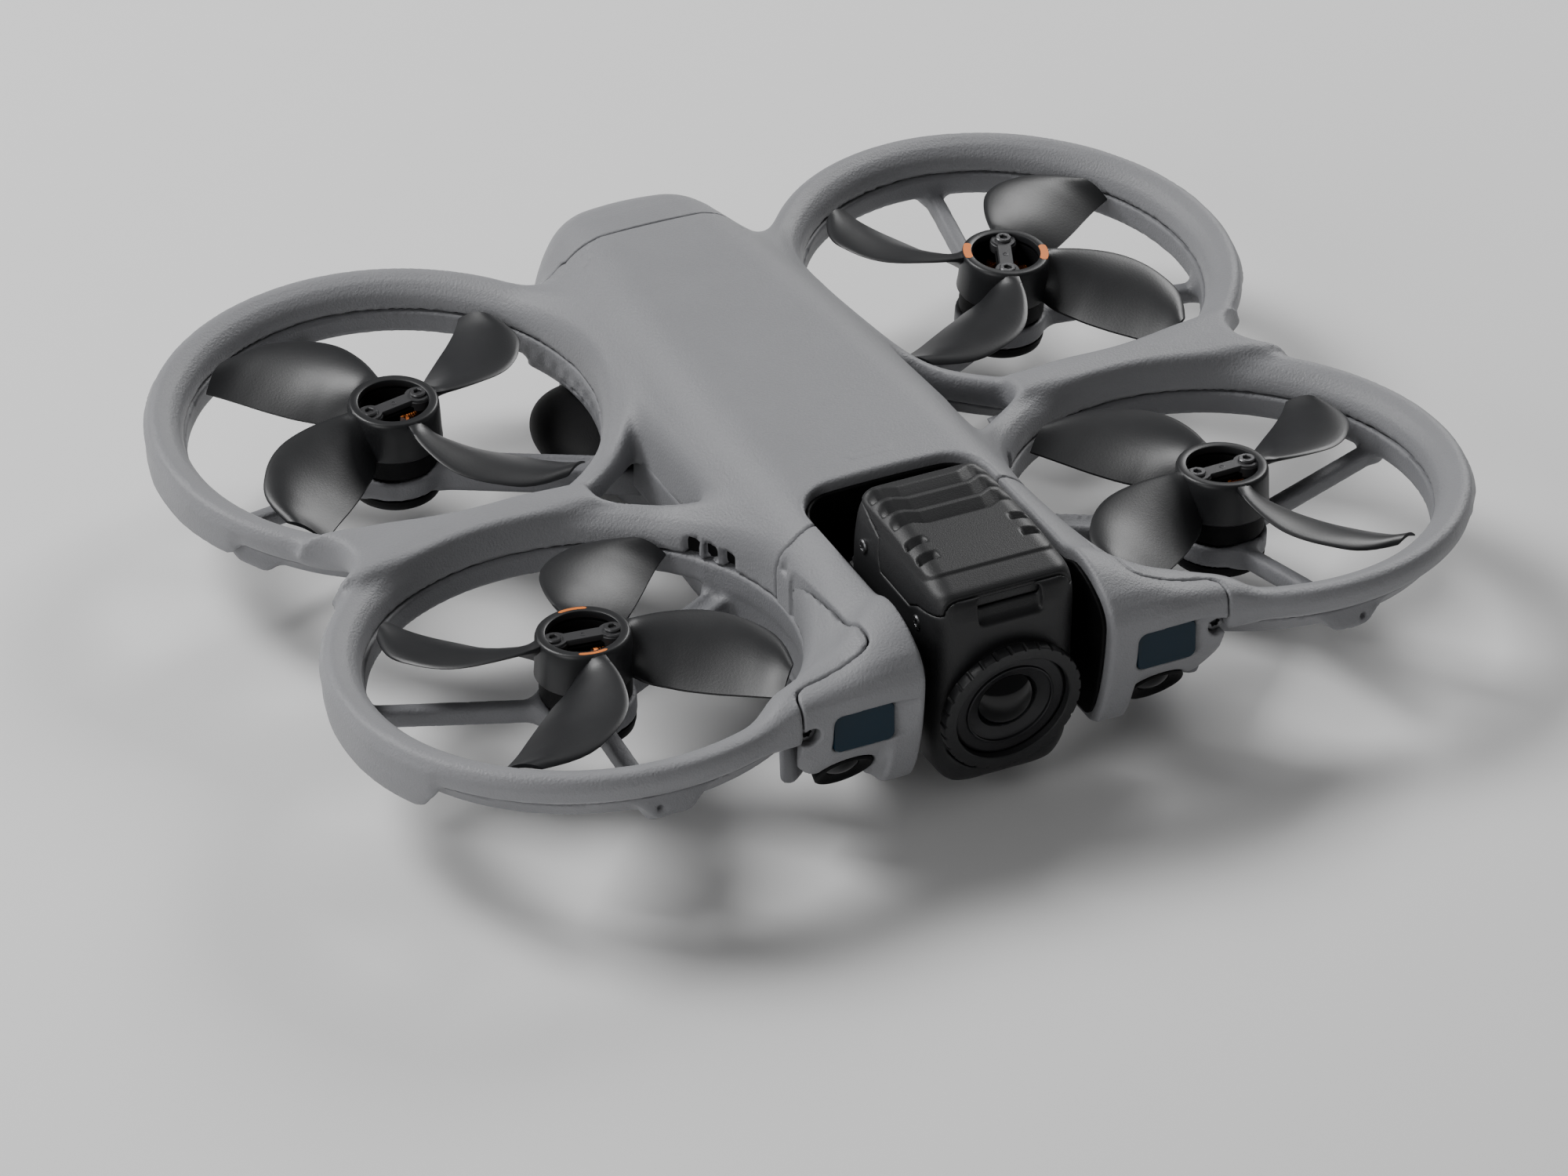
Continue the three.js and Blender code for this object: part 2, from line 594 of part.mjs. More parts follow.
const pod = new THREE.Group();
drone.add(pod);
piece(pod, "pod_hood", podHood(), CHARCOAL);
piece(pod, "pod_housing", podHousing(), CHARCOAL);
for (const [word, y, turn] of LENS_SEATS) {
  piece(pod, word + "_lens_ring", onSeat(lensRing, y, turn), BLACK);
  piece(pod, word + "_lens", onSeat(lensGlass, y, turn), GLASS);
}
for (const [word, side] of [["left", -1], ["right", 1]]) {
  const cap = crossRod(7.5, side * (POD_HALF + GAP), side * (POD_HALF + 1.2), PIVOT_Y, PIVOT_Z);
  piece(pod, word + "_pivot_cap", cap, CHARCOAL);
}

// The tilt motor on the right prong and the plain bearing on the left hold the pod's caps.
const bearingFace = POD_HALF + 1.5;
piece(drone, "tilt_motor", crossRod(9, bearingFace, BAY_HALF - 0.2, PIVOT_Y, PIVOT_Z, 24), BLACK);
piece(drone, "tilt_bearing", crossRod(6, -bearingFace, -(BAY_HALF - 0.2), PIVOT_Y, PIVOT_Z, 20), BLACK);

// ---- battery, which carries the tail of the body, its power button and its two latches ----
const TAIL_LOW = -15;
const POWER = { r: 4, y: 96.6, z: -6, travel: 0.6 };
const LATCH = { y0: 83, y1: 89, low: -13, high: -9, inner: 19.6 };
const tailHalf = (y) => 27.5 + ((y - 72) * (24 - 27.5)) / 14 + Math.max(0, y - 86) * 0.25;
const backward = (part, x, y, z) => part.rotate([-90, 0, 0]).translate([x, y, z]);

function latchSolid(side, margin, inner, proud) {
  const rim = (y) => side * (tailHalf(y) + proud);
  const ends = [[LATCH.y0 - margin, rim(LATCH.y0)], [LATCH.y1 + margin, rim(LATCH.y1)]];
  return hull(ends.flatMap(([y, x]) => [LATCH.low - margin, LATCH.high + margin].flatMap((z) => [
    [side * inner, y, z],
    [x, y, z],
  ])));
}

function battery() {
  const tail = cut(
    spineLoft(0, TAIL_LOW, TAIL_SEAM_Y + GAP, SPINE.at(-1).y),
    bellyHull(GAP),
    ...ductSpace,
    ...wallKeepOut,
  );
  const core = hull([BATTERY_NOSE_Y, 88].flatMap((y) => [-1, 1].flatMap((side) => [
    [side * BATTERY_HALF, y, BATTERY_LOW],
    [side * BATTERY_HALF, y, -2],
    [side * (BATTERY_HALF - 5), y, BATTERY_HIGH],
  ])));
  const buttonWell = backward(disc(POWER.r + GAP, -3.2, 20, 16), 0, POWER.y, POWER.z);
  const wells = [-1, 1].map((side) => latchSolid(side, GAP, LATCH.inner - 1.6, 8));
  return cut(join(tail, core), buttonWell, ...wells);
}

piece(drone, "battery", battery(), GREY_SHELL);
piece(drone, "power_button", backward(disc(POWER.r, -2.2, 0, 16), 0, POWER.y, POWER.z), BLACK);
for (const [word, side] of [["left", -1], ["right", 1]]) {
  piece(drone, word + "_battery_latch", latchSolid(side, 0, LATCH.inner, 0.3), BLACK);
}

// ---- inside the belly and on its underside ----
piece(drone, "main_board", box([-16, -30, -27.6], [16, 9, -26]), BOARD_GREEN);
const finRows = [-24, -18, -12, -6, 0].map((y) => box([-20, y, -21.5], [20, y + 3.4, -10]));
piece(drone, "heat_sink", cut(box([-14, -28, -25.7], [14, 7, -12]), ...finRows), STEEL);
piece(drone, "data_port", box([-20.3, -4.6, -21], [-16.6, 4.6, -18]), STEEL);
const flap = box(
  [PORT.face, PORT.y0 + GAP, PORT.low + GAP],
  [PORT.face + 1.8, PORT.y1 - GAP, PORT.high - GAP],
);
piece(drone, "port_cover", flap, RUBBER);
const downPane = raised(roundedRect(12 - GAP, 7 - GAP, 3), BELLY_Z + 0.4, BELLY_Z + 3);
piece(drone, "downward_sensor_window", downPane.translate([0, -14, 0]), GLASS);
for (const [word, side] of [["left", -1], ["right", 1]]) {
  const xs = [side * 14.5, side * 19.5].sort((a, b) => a - b);
  const pad = box([xs[0], -18, -PADS_TO_HUB], [xs[1], 58, BELLY_Z - GAP]);
  piece(drone, word + "_belly_pad", pad, RUBBER);
}

drone.position.z = PADS_TO_HUB;
export default drone;
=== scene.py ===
"""Looks of the ducted camera drone: moulded shells, rotors, camera pod and small parts."""
import json
import math
import bpy
import numpy as np
from mathutils import Matrix, Vector


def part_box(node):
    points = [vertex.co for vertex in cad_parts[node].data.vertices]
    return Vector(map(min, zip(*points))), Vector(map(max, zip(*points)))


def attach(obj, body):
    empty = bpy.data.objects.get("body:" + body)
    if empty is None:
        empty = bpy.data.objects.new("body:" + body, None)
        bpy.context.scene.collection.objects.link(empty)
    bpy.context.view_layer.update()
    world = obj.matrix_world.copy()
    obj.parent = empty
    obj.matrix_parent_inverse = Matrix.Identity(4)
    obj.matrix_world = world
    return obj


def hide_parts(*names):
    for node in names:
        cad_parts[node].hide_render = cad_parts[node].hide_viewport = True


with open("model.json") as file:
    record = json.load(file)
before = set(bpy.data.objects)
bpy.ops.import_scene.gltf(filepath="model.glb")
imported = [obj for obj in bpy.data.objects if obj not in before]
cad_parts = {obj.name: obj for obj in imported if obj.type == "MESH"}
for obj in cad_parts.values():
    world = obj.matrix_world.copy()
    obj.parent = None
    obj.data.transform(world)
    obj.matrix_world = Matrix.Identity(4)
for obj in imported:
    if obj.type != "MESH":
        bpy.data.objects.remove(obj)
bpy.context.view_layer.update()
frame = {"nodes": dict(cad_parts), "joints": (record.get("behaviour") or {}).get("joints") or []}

# ---- places and driving sizes, in millimetres above the front hub tops unless they end in _M ----
MM = 0.001
SPINS = {j["child"]: j for j in frame["joints"]}
HUB_LIFT = SPINS["front_left_rotor"]["pos_m"][2] / MM
SEAM_Z = -7.45
SEAM_GAP = 0.16
LIP_R = 43.4
BAY_HALF = 20.4
BAY_BACK_Y = -35.5
BAY_CORNER = 8.0
COVER_BACK_Y = -46.7
TAIL_SEAM_Y = 77.1
HULL_HALF_X = 123.6
DUCT_OUTER_R = 51.2


def rotation_to(axis):
    """Turns +Z to the axis, first about Y, then about X, as the rotor mounts lean."""
    across = math.asin(axis[0])
    back = math.atan2(-axis[1], axis[2])
    return (Matrix.Rotation(back, 4, "X") @ Matrix.Rotation(across, 4, "Y")).to_3x3()


class Corner:
    """One rotor's place: sx and sy are its sides, rest the angle of its screw bar in degrees."""

    def __init__(self, tag, sx, sy, clockwise, rest):
        spin = SPINS[tag + "_rotor"]
        self.tag, self.sx, self.sy, self.clockwise, self.rest = tag, sx, sy, clockwise, rest
        self.centre = np.array(spin["pos_m"]) / MM - (0, 0, HUB_LIFT)
        self.turn = np.array(rotation_to(spin["axis"]))

    def local(self, x, y, z):
        """Coordinates about the rotor axis, mirrored so that +x is outward and -y away from the middle."""
        dx, dy, dz = x - self.centre[0], y - self.centre[1], z - self.centre[2]
        t = self.turn
        lx = dx * t[0, 0] + dy * t[1, 0] + dz * t[2, 0]
        ly = dx * t[0, 1] + dy * t[1, 1] + dz * t[2, 1]
        lz = dx * t[0, 2] + dy * t[1, 2] + dz * t[2, 2]
        return lx * self.sx, ly * -self.sy, lz


CORNERS = [
    Corner("front_left", -1, -1, False, -9.5),
    Corner("front_right", 1, -1, True, 3.5),
    Corner("rear_left", -1, 1, True, 10.0),
    Corner("rear_right", 1, 1, False, 67.0),
]


# ---- fields: signed distances in millimetres, negative inside ----
def join(a, b, k=0.0):
    """Union, with a fillet of about k."""
    if k <= 0:
        return np.minimum(a, b)
    h = np.clip(0.5 + 0.5 * (b - a) / k, 0, 1)
    return b + (a - b) * h - k * h * (1 - h)


def both(a, b, k=0.0):
    """Intersection, with its edge rounded by about k."""
    return -join(-a, -b, k)


def without(a, b, k=0.0):
    return both(a, -b, k)


def outline_distance(u, v, outline):
    """Signed distance to a closed outline of (u, v) points."""
    best = np.full(u.shape, 1e9)
    inside = np.zeros(u.shape, bool)
    for (au, av), (bu, bv) in zip(outline, outline[1:] + outline[:1]):
        eu, ev = bu - au, bv - av
        wu, wv = u - au, v - av
        t = np.clip((wu * eu + wv * ev) / (eu * eu + ev * ev), 0, 1)
        best = np.minimum(best, (wu - eu * t) ** 2 + (wv - ev * t) ** 2)
        crosses = ((av > v) != (bv > v)) & (wu < eu * wv / (ev if ev else 1e-9))
        inside ^= crosses
    return np.where(inside, -1, 1) * np.sqrt(best)


class Section:
    """Signed distance to a closed outline, looked up on a fine grid, its corners softened by a radius."""

    STEP = 0.12
    MARGIN = 8.0

    def __init__(self, outline, soft=0.0):
        points = np.array(outline, float)
        self.low = points.min(0) - self.MARGIN
        self.count = np.ceil((points.max(0) + self.MARGIN - self.low) / self.STEP).astype(int) + 1
        u = self.low[0] + np.arange(self.count[0]) * self.STEP
        v = self.low[1] + np.arange(self.count[1]) * self.STEP
        grid = np.meshgrid(u, v, indexing="ij")
        table = outline_distance(grid[0], grid[1], outline)
        for _ in range(int((soft / self.STEP) ** 2)):
            table[1:-1, 1:-1] = (table[2:, 1:-1] + table[:-2, 1:-1] + table[1:-1, 2:] + table[1:-1, :-2]) / 4
        self.table = table

    def __call__(self, u, v):
        gu = (u - self.low[0]) / self.STEP
        gv = (v - self.low[1]) / self.STEP
        cu = np.clip(gu, 0, self.count[0] - 1.001)
        cv = np.clip(gv, 0, self.count[1] - 1.001)
        i, j = cu.astype(int), cv.astype(int)
        a, b = cu - i, cv - j
        t = self.table
        lower = t[i, j] * (1 - a) + t[i + 1, j] * a
        upper = t[i, j + 1] * (1 - a) + t[i + 1, j + 1] * a
        return lower * (1 - b) + upper * b + self.STEP * np.hypot(gu - cu, gv - cv)


def rounded_plan(x, y, half_x, half_y, r):
    """Signed distance to a rectangle about the origin with corners of radius r."""
    qx, qy = np.abs(x) - half_x + r, np.abs(y) - half_y + r
    return np.hypot(np.maximum(qx, 0), np.maximum(qy, 0)) + np.minimum(np.maximum(qx, qy), 0) - r


def slab(x, y, z, low, high, r=0.0):
    """A box with its edges rounded by r."""
    q = [abs(v - (a + b) / 2) - (b - a) / 2 + r for v, a, b in zip((x, y, z), low, high)]
    outside = np.sqrt(sum(np.maximum(v, 0) ** 2 for v in q))
    return outside + np.minimum(np.maximum(np.maximum(q[0], q[1]), q[2]), 0) - r


# ---- from a field to a mesh ----
BLOCK = 4
BATCH = 20000


def sample(field, low, high, step):
    """The field on a grid, worked out finely only in blocks that the surface can pass through."""
    low = np.array(low, float)
    blocks = np.ceil((np.array(high) - low) / (BLOCK * step)).astype(int) + 1
    centres = [low[a] + (np.arange(blocks[a]) * BLOCK + (BLOCK - 1) / 2) * step for a in range(3)]
    cx, cy, cz = np.meshgrid(*centres, indexing="ij")
    coarse = field(cx, cy, cz)
    near = np.abs(coarse) < BLOCK * step * 1.25
    full = np.empty((blocks[0], BLOCK, blocks[1], BLOCK, blocks[2], BLOCK), np.float32)
    full[:] = np.where(coarse < 0, -9, 9)[:, None, :, None, :, None]
    bx, by, bz = np.nonzero(near)
    offsets = np.arange(BLOCK)
    for start in range(0, len(bx), BATCH):
        part = slice(start, start + BATCH)
        shape = (len(bx[part]), BLOCK, BLOCK, BLOCK)
        first = [n[part, None, None, None] * BLOCK for n in (bx, by, bz)]
        x = np.broadcast_to(low[0] + (first[0] + offsets[:, None, None]) * step, shape)
        y = np.broadcast_to(low[1] + (first[1] + offsets[:, None]) * step, shape)
        z = np.broadcast_to(low[2] + (first[2] + offsets) * step, shape)
        full[bx[part], :, by[part], :, bz[part], :] = field(x, y, z)
    return full.reshape([n * BLOCK for n in blocks]), low


def surface(values, low, step):
    """Surface nets: one vertex in each cell that the surface crosses, one quad for each crossed grid edge."""
    values[[0, -1]] = values[:, [0, -1]] = values[:, :, [0, -1]] = 9
    inside = values < 0
    corner = [(i, j, k) for i in (0, 1) for j in (0, 1) for k in (0, 1)]
    cells = tuple(n - 1 for n in values.shape)
    view = lambda array, c: array[c[0]:c[0] + cells[0], c[1]:c[1] + cells[1], c[2]:c[2] + cells[2]]
    count = sum(view(inside, c).astype(np.int8) for c in corner)
    where = np.nonzero((count > 0) & (count < 8))
    index = np.full(cells, -1, np.int32)
    index[where] = np.arange(len(where[0]))
    total = np.zeros((len(where[0]), 3))
    hits = np.zeros(len(where[0]))
    for a in corner:
        for axis in range(3):
            if a[axis]:
                continue
            b = tuple(1 if i == axis else a[i] for i in range(3))
            fa, fb = view(values, a)[where], view(values, b)[where]
            crossed = (fa < 0) != (fb < 0)
            t = np.where(crossed, fa / np.where(crossed, fa - fb, 1), 0)
            place = np.tile(np.array(a, float), (len(t), 1))
            place[:, axis] += t
            total += place * crossed[:, None]
            hits += crossed
    points = low + (np.stack(where, 1) + total / hits[:, None]) * step
    faces = []
    for axis in range(3):
        u, v = [(1, 2), (2, 0), (0, 1)][axis]
        first = [slice(1, -1)] * 3
        second = [slice(1, -1)] * 3
        first[axis] = slice(0, -1)
        second[axis] = slice(1, None)
        edge = inside[tuple(first)] != inside[tuple(second)]
        at = list(np.nonzero(edge))
        start = inside[tuple(first)][edge]
        for other in (u, v):
            at[other] = at[other] + 1
        quad = []
        for du, dv in ((1, 1), (0, 1), (0, 0), (1, 0)):
            cell = [at[0].copy(), at[1].copy(), at[2].copy()]
            cell[u] -= du
            cell[v] -= dv
            quad.append(index[tuple(cell)])
        quad = np.stack(quad, 1)
        faces.append(np.where(start[:, None], quad, quad[:, ::-1]))
    return points, np.concatenate(faces)


def settle(field, points, step, rounds=2):
    """Moves the vertices onto the field's zero surface."""
    nudge = 0.15 * step
    signs = [(1, -1, -1), (-1, -1, 1), (-1, 1, -1), (1, 1, 1)]
    for _ in range(rounds):
        value, slope = 0, np.zeros_like(points)
        for s in signs:
            f = field(*(points + np.array(s) * nudge).T)
            value = value + f / 4
            slope += f[:, None] * np.array(s) / (4 * nudge)
        size = np.maximum((slope ** 2).sum(1), 0.25)
        points = points - slope * np.clip(value / size, -0.6 * step, 0.6 * step)[:, None]
    return points


def mesh_object(name, points, faces):
    """An object from points in millimetres about the hub tops, and faces of one corner count."""
    n = faces.shape[1]
    mesh = bpy.data.meshes.new(name)
    mesh.vertices.add(len(points))
    mesh.vertices.foreach_set("co", ((points + (0, 0, HUB_LIFT)) * MM).astype(np.float32).ravel())
    mesh.loops.add(faces.size)
    mesh.loops.foreach_set("vertex_index", faces.astype(np.int32).ravel())
    mesh.polygons.add(len(faces))
    mesh.polygons.foreach_set("loop_start", np.arange(len(faces), dtype=np.int32) * n)
    mesh.update(calc_edges=True)
    mesh.validate()
    mesh.shade_smooth()
    return linked(name, mesh)


def linked(name, data):
    """An object for a mesh, camera or lamp, linked to the scene."""
    piece = bpy.data.objects.new(name, data)
    bpy.context.scene.collection.objects.link(piece)
    return piece


MOST_TRIANGLES = 190000


def carve(name, field, low, high, step):
    """A smooth piece from a field, thinned to the most triangles that a piece may have."""
    values, origin = sample(field, low, high, step)
    points, faces = surface(values, origin, step)
    points = settle(field, points, step)
    piece = mesh_object(name, points, faces)
    if 2 * len(faces) > MOST_TRIANGLES:
        thin = piece.modifiers.new("thin", "DECIMATE")
        thin.ratio = MOST_TRIANGLES / (2 * len(faces))
        apply_modifiers(piece)
        piece.data.shade_smooth()
    return piece


def apply_modifiers(piece):
    bpy.context.view_layer.update()
    done = bpy.data.meshes.new_from_object(piece.evaluated_get(bpy.context.evaluated_depsgraph_get()))
    piece.modifiers.clear()
    piece.data = done


# ---- the moulded body: one field, which the shell, prong covers and tail are cut from ----
# Stations of the spine: y, crown height, half-width of the flat crown, half-width of the skirt.
SPINE = np.array([
    (-100, 11.0, 24.6, 38.5), (-92, 11.1, 24.8, 37.5), (-84, 11.1, 24.8, 36.0), (-72, 11.1, 24.6, 33.6),
    (-60, 11.1, 24.2, 32.0), (-47, 11.2, 23.4, 31.4), (-30, 11.5, 22.5, 32.0), (-8, 11.7, 21.7, 33.0),
    (18, 11.4, 20.5, 31.5), (48, 10.5, 18.4, 30.0), (72, 9.0, 16.6, 27.5), (84, 7.6, 15.6, 24.6),
    (92, 6.0, 14.6, 21.4), (100, 4.0, 13.6, 18.6),
])
FLANK_DROP = 11.0  # the flank falls this far from the crown to the skirt
SHOULDER_SOFT = 5.0
TAIL_END_Y = 97.2


def spine(x, y, z):
    crown, flat, skirt = (np.interp(y, SPINE[:, 0], SPINE[:, i]) for i in (1, 2, 3))
    across = np.abs(x)
    top = z - crown + 0.0016 * x * x
    run = skirt - 1.0 - flat
    slope = np.hypot(run, FLANK_DROP)
    flank = ((across - flat) * FLANK_DROP + (z - crown) * run) / slope
    body = both(both(top, flank, SHOULDER_SOFT), across - skirt, 4.0)
    return both(body, y - TAIL_END_Y + 0.012 * x * x + 0.10 * np.maximum(z + 3, 0) ** 1.5, 6.0)


# Duct section as [radius, height]: the rounded lip above the seam, the low wall below it.
DUCT_SECTION = Section([
    (43.4, -12.6), (43.4, -5.6), (44.4, -3.7), (46.6, -1.7), (49.4, -0.7), (51.1, -1.3), (51.9, -3.4),
    (51.3, -6.0), (49.4, -7.9), (47.6, -10.2), (45.9, -12.4), (44.6, -13.0),
], soft=0.35)
SKIRT_SECTION = Section([
    (48.6, -3.0), (51.9, -3.4), (51.9, -9.0), (51.3, -12.8), (50.4, -13.7), (49.6, -12.8), (49.3, -8.0),
], soft=0.3)


def skirt_range(corner):
    """Angles, outward being 0 and away from the middle negative, between which the outer wall is deep."""
    return (-33, 50) if corner.sy < 0 else (-40, 29)


def past_skirt(corner, lx, ly):
    """Arc length past the ends of the deep outer wall."""
    angle = np.arctan2(ly, lx)
    low, high = np.radians(skirt_range(corner))
    return np.maximum(low - angle, angle - high) * 52


def ring(corner, x, y, z):
    lx, ly, lz = corner.local(x, y, z)
    r = np.hypot(lx, ly)
    beyond = past_skirt(corner, lx, ly) + 0.8 * np.maximum(-8 - lz, 0)
    skirt = both(SKIRT_SECTION(r, lz), beyond, 3.0)
    return join(DUCT_SECTION(r, lz), skirt, 1.2)


# The web between a front and a rear duct lies between a round outer notch and a three-sided inner one.
OUTER_NOTCH = (113.4, 11.4)
INNER_NOTCH = (30.4, 48.0)  # nearest and farthest x


def web(x, y, z):
    across = np.abs(x)
    outer = OUTER_NOTCH[1] - np.hypot(across - OUTER_NOTCH[0], y)
    beside = np.abs(y) - 2.8 - (across - 46.5) * 0.1
    between = np.maximum(INNER_NOTCH[1] - 4 - across, across - OUTER_NOTCH[0])
    plan = np.maximum(outer, np.maximum(beside, between))
    return both(plan, np.abs(z + 5.0) - 3.4, 2.4)


def web_notch(x, y):
    """Plan of the opening between the body and two ducts."""
    across = np.abs(x)
    sides = None
    for corner in CORNERS[1::2]:
        beyond = DUCT_OUTER_R - np.hypot(across - corner.centre[0], y - corner.centre[1])
        sides = beyond if sides is None else both(sides, beyond, 3.0)
    sides = both(both(sides, INNER_NOTCH[0] - across, 4.0), across - INNER_NOTCH[1], 2.0)
    return np.maximum(sides, np.abs(y) - 24)


# Side profile of the prongs' noses as (y, z), wide open behind and above.
NOSE_PROFILE = Section([
    (-40, 30), (-70, 30), (-84.0, 13.2), (-88.6, 10.8), (-92.6, 8.4), (-94.8, 6.0), (-95.9, 3.2),
    (-96.0, 0.0), (-95.8, -4.0), (-95.3, -9.0), (-94.2, -14.5), (-93.0, -18.5), (-91.2, -22.2),
    (-88.2, -23.7), (-40, -23.7),
], soft=0.8)
EYE = (34.6, -88.9, -18.4, 6.2)  # x, y, z, radius
EYE_TIP = 35.0  # degrees down from straight ahead
EYE_POCKET = (27.2, 60.0)  # how far from the middle the sloping pocket round an eye reaches


def eye_frame(side, x, y, z):
    """Distance along and from an eye's own axis."""
    tip = math.radians(EYE_TIP)
    dx, dy, dz = x - side * EYE[0], y - EYE[1], z - EYE[2]
    along = -dy * math.cos(tip) - dz * math.sin(tip)
    up = dy * math.sin(tip) - dz * math.cos(tip)
    return along, np.hypot(dx, up)


def nose(x, y, z):
    """The blunt outer part of a prong, and the wall below its inner edge."""
    across = np.abs(x)
    profile = NOSE_PROFILE(y - 0.009 * np.maximum(across - 31, 0) ** 2, z)
    outer = (across - 48.5) * 0.86 - (z + 7.5) * 0.51
    outer = both(outer, across - 48.8, 3.0)
    behind = y + 79 + 0.35 * (across - 20)
    top = z - 8.6 + 0.28 * (across - 27)
    return both(both(both(profile, outer, 3.0), behind, 3.0), top, 3.0)


def eye_pocket(x, y, z):
    along, _ = eye_frame(1, np.abs(x), y, z)
    across = np.abs(x)
    side = np.maximum(EYE_POCKET[0] - across, across - EYE_POCKET[1])
    return both(-along, side, 2.5)


def bay(x, y, z):
    """The camera bay seen from above, open towards the nose."""
    r = BAY_CORNER
    qx = np.abs(x) - BAY_HALF + r
    qy = y - BAY_BACK_Y + r
    return np.hypot(np.maximum(qx, 0), np.maximum(qy, 0)) + np.minimum(np.maximum(qx, qy), 0) - r


def bore(corner, x, y, z):
    lx, ly, _ = corner.local(x, y, z)
    return np.hypot(lx, ly) - LIP_R


def hull(x, y, z):
    """The whole moulding before the camera bay is cut."""
    rings = [ring(c, x, y, z) for c in CORNERS]
    left = join(rings[0], rings[2], 3.0)
    right = join(rings[1], rings[3], 3.0)
    ducts = join(np.minimum(left, right), web(x, y, z), 5.0)
    front = both(join(spine(x, y, z), nose(x, y, z), 8.0), NOSE_PROFILE(np.minimum(y, -50.0), z), 2.5)
    middle = np.where(y < -50, front, spine(x, y, z))
    whole = join(middle, ducts, 9.0)
    for corner in CORNERS:
        whole = without(whole, bore(corner, x, y, z), 2.2)
    whole = without(whole, web_notch(x, y), 2.6)
    whole = np.where(y < -70, without(whole, eye_pocket(x, y, z), 1.2), whole)
    return both(whole, np.abs(x) - HULL_HALF_X, 1.0)


def body(x, y, z):
    return without(hull(x, y, z), bay(x, y, z), 1.2)


def seam(x, y, z):
    """Height over the parting plane of the nearest duct."""
    front = y < 0
    left = x < 0
    heights = [c.local(x, y, z)[2] for c in CORNERS]
    front_height = np.where(left, heights[0], heights[1])
    rear_height = np.where(left, heights[2], heights[3])
    near = np.clip(np.abs(x) / 30, 0, 1)
    tilted = np.where(front, front_height, rear_height)
    return near * tilted + (1 - near) * z - SEAM_Z


def cover_plan(x, y):
    """Plan of a prong cover: a strip beside the bay, widening over the front face."""
    across = np.abs(x)
    strip = np.maximum(across - 28.2, y - COVER_BACK_Y)
    front = both(y + 88.6 + 0.10 * (across - 28), across - 46.8, 3.0)
    lug = np.hypot(across - 29.4, y + 48.6) - 3.1
    return join(join(strip, front, 4.5), lug, 1.6)


GROOVE = 0.17
SEAM_RING_R = 52.4


def battery_room(x, y, z):
    return slab(x, y, z, (-18.6, -33, -40), (18.6, 120, 6.4), 2.0)


def tail_room(x, y, z):
    """Behind the tail seam, outside both rear ducts."""
    beside = [SEAM_RING_R - np.hypot(*c.local(x, y, z)[:2]) for c in CORNERS[2:]]
    zigzag = np.interp(z, (-4.2, -3.4, 2.6, 3.6), (1.6, 0.0, 0.0, -1.1))
    return np.maximum(np.maximum(beside[0], beside[1]), TAIL_SEAM_Y + zigzag - y)


SKIRT_INNER_R = 49.3


def skirt_room(x, y, z):
    """Negative where a duct's deep outer skirt hangs below the seam."""
    rooms = []
    for corner in CORNERS:
        lx, ly, lz = corner.local(x, y, z)
        beyond = past_skirt(corner, lx, ly) - 3
        rooms.append(np.maximum(np.maximum(SKIRT_INNER_R - np.hypot(lx, ly), beyond), -16 - lz))
    return np.minimum.reduce(rooms)


VENTS = (144.0, 156.0, 3)  # first and last angle of the vent slots inside a front duct, and how many
VENT_HALF = 1.8
VENT_Z = (-7.1, -3.4)
VENT_R = 45.4


def vent_slots(x, y, z):
    """Slots through the front ducts' inner walls beside the body."""
    out = None
    for corner in CORNERS[:2]:
        lx, ly, lz = corner.local(x, y, z)
        for i in range(VENTS[2]):
            u, v = turned_back(lx, ly, VENTS[0] + (VENTS[1] - VENTS[0]) * i / (VENTS[2] - 1))
            slot = slab(u, v, lz, (40, -VENT_HALF, VENT_Z[0]), (VENT_R, VENT_HALF, VENT_Z[1]), 0.6)
            out = slot if out is None else np.minimum(out, slot)
    return out


def pill(x, y, z):
    """The raised outline of a small button-like mark on the crown."""
    along = np.abs(x) - 3.4
    flat = np.hypot(np.maximum(along, 0), y + 28.8) - 1.25
    return np.abs(flat) - 0.28


def shell(x, y, z):
    whole = body(x, y, z)
    whole = whole - 0.22 * np.clip(1 - pill(x, y, z) / 0.25, 0, 1) * (z > 9)
    kept = np.maximum(whole, np.minimum(SEAM_GAP - seam(x, y, z), skirt_room(x, y, z)))
    roof = whole + 1.1 - 2 * np.maximum(-5 - z, 0)
    kept = np.maximum(kept, -np.maximum(battery_room(x, y, z), roof))
    kept = without(kept, vent_slots(x, y, z), 0.25)
    kept = np.maximum(kept, -(cover_plan(x, y) - GROOVE))
    return np.maximum(kept, GROOVE - tail_room(x, y, z))


def prong_cover(side):
    def field(x, y, z):
        kept = np.maximum(body(x, y, z), cover_plan(x, y) + GROOVE)
        kept = np.maximum(kept, -side * x)
        for room in (window_room, eye_room, screw_room):
            kept = without(kept, room(side, x, y, z), 0.5)
        return kept
    return field


TAIL_LOW = -15.0
POWER = (96.6, -6.0, 4.3)  # y, z and the radius of the button's well
LATCH = (83.0, 89.0, -13.0, -9.0)  # y and z of the latches


def tail(x, y, z):
    kept = np.maximum(body(x, y, z), tail_room(x, y, z) + GROOVE)
    kept = np.maximum(kept, np.abs(x) - 36)
    kept = both(kept, TAIL_LOW - z, 1.5)
    kept = without(kept, button_room(x, y, z), 0.5)
    return without(kept, latch_room(x, y, z), 0.5)


def button_room(x, y, z):
    return np.maximum(np.hypot(x, z - POWER[1]) - POWER[2], POWER[0] - 3.3 - y)


def latch_room(x, y, z):
    low_y, high_y, low_z, high_z = LATCH
    return slab(np.abs(x), y, z, (17.6, low_y - 0.4, low_z - 0.4), (60, high_y + 0.4, high_z + 0.4), 0.8)


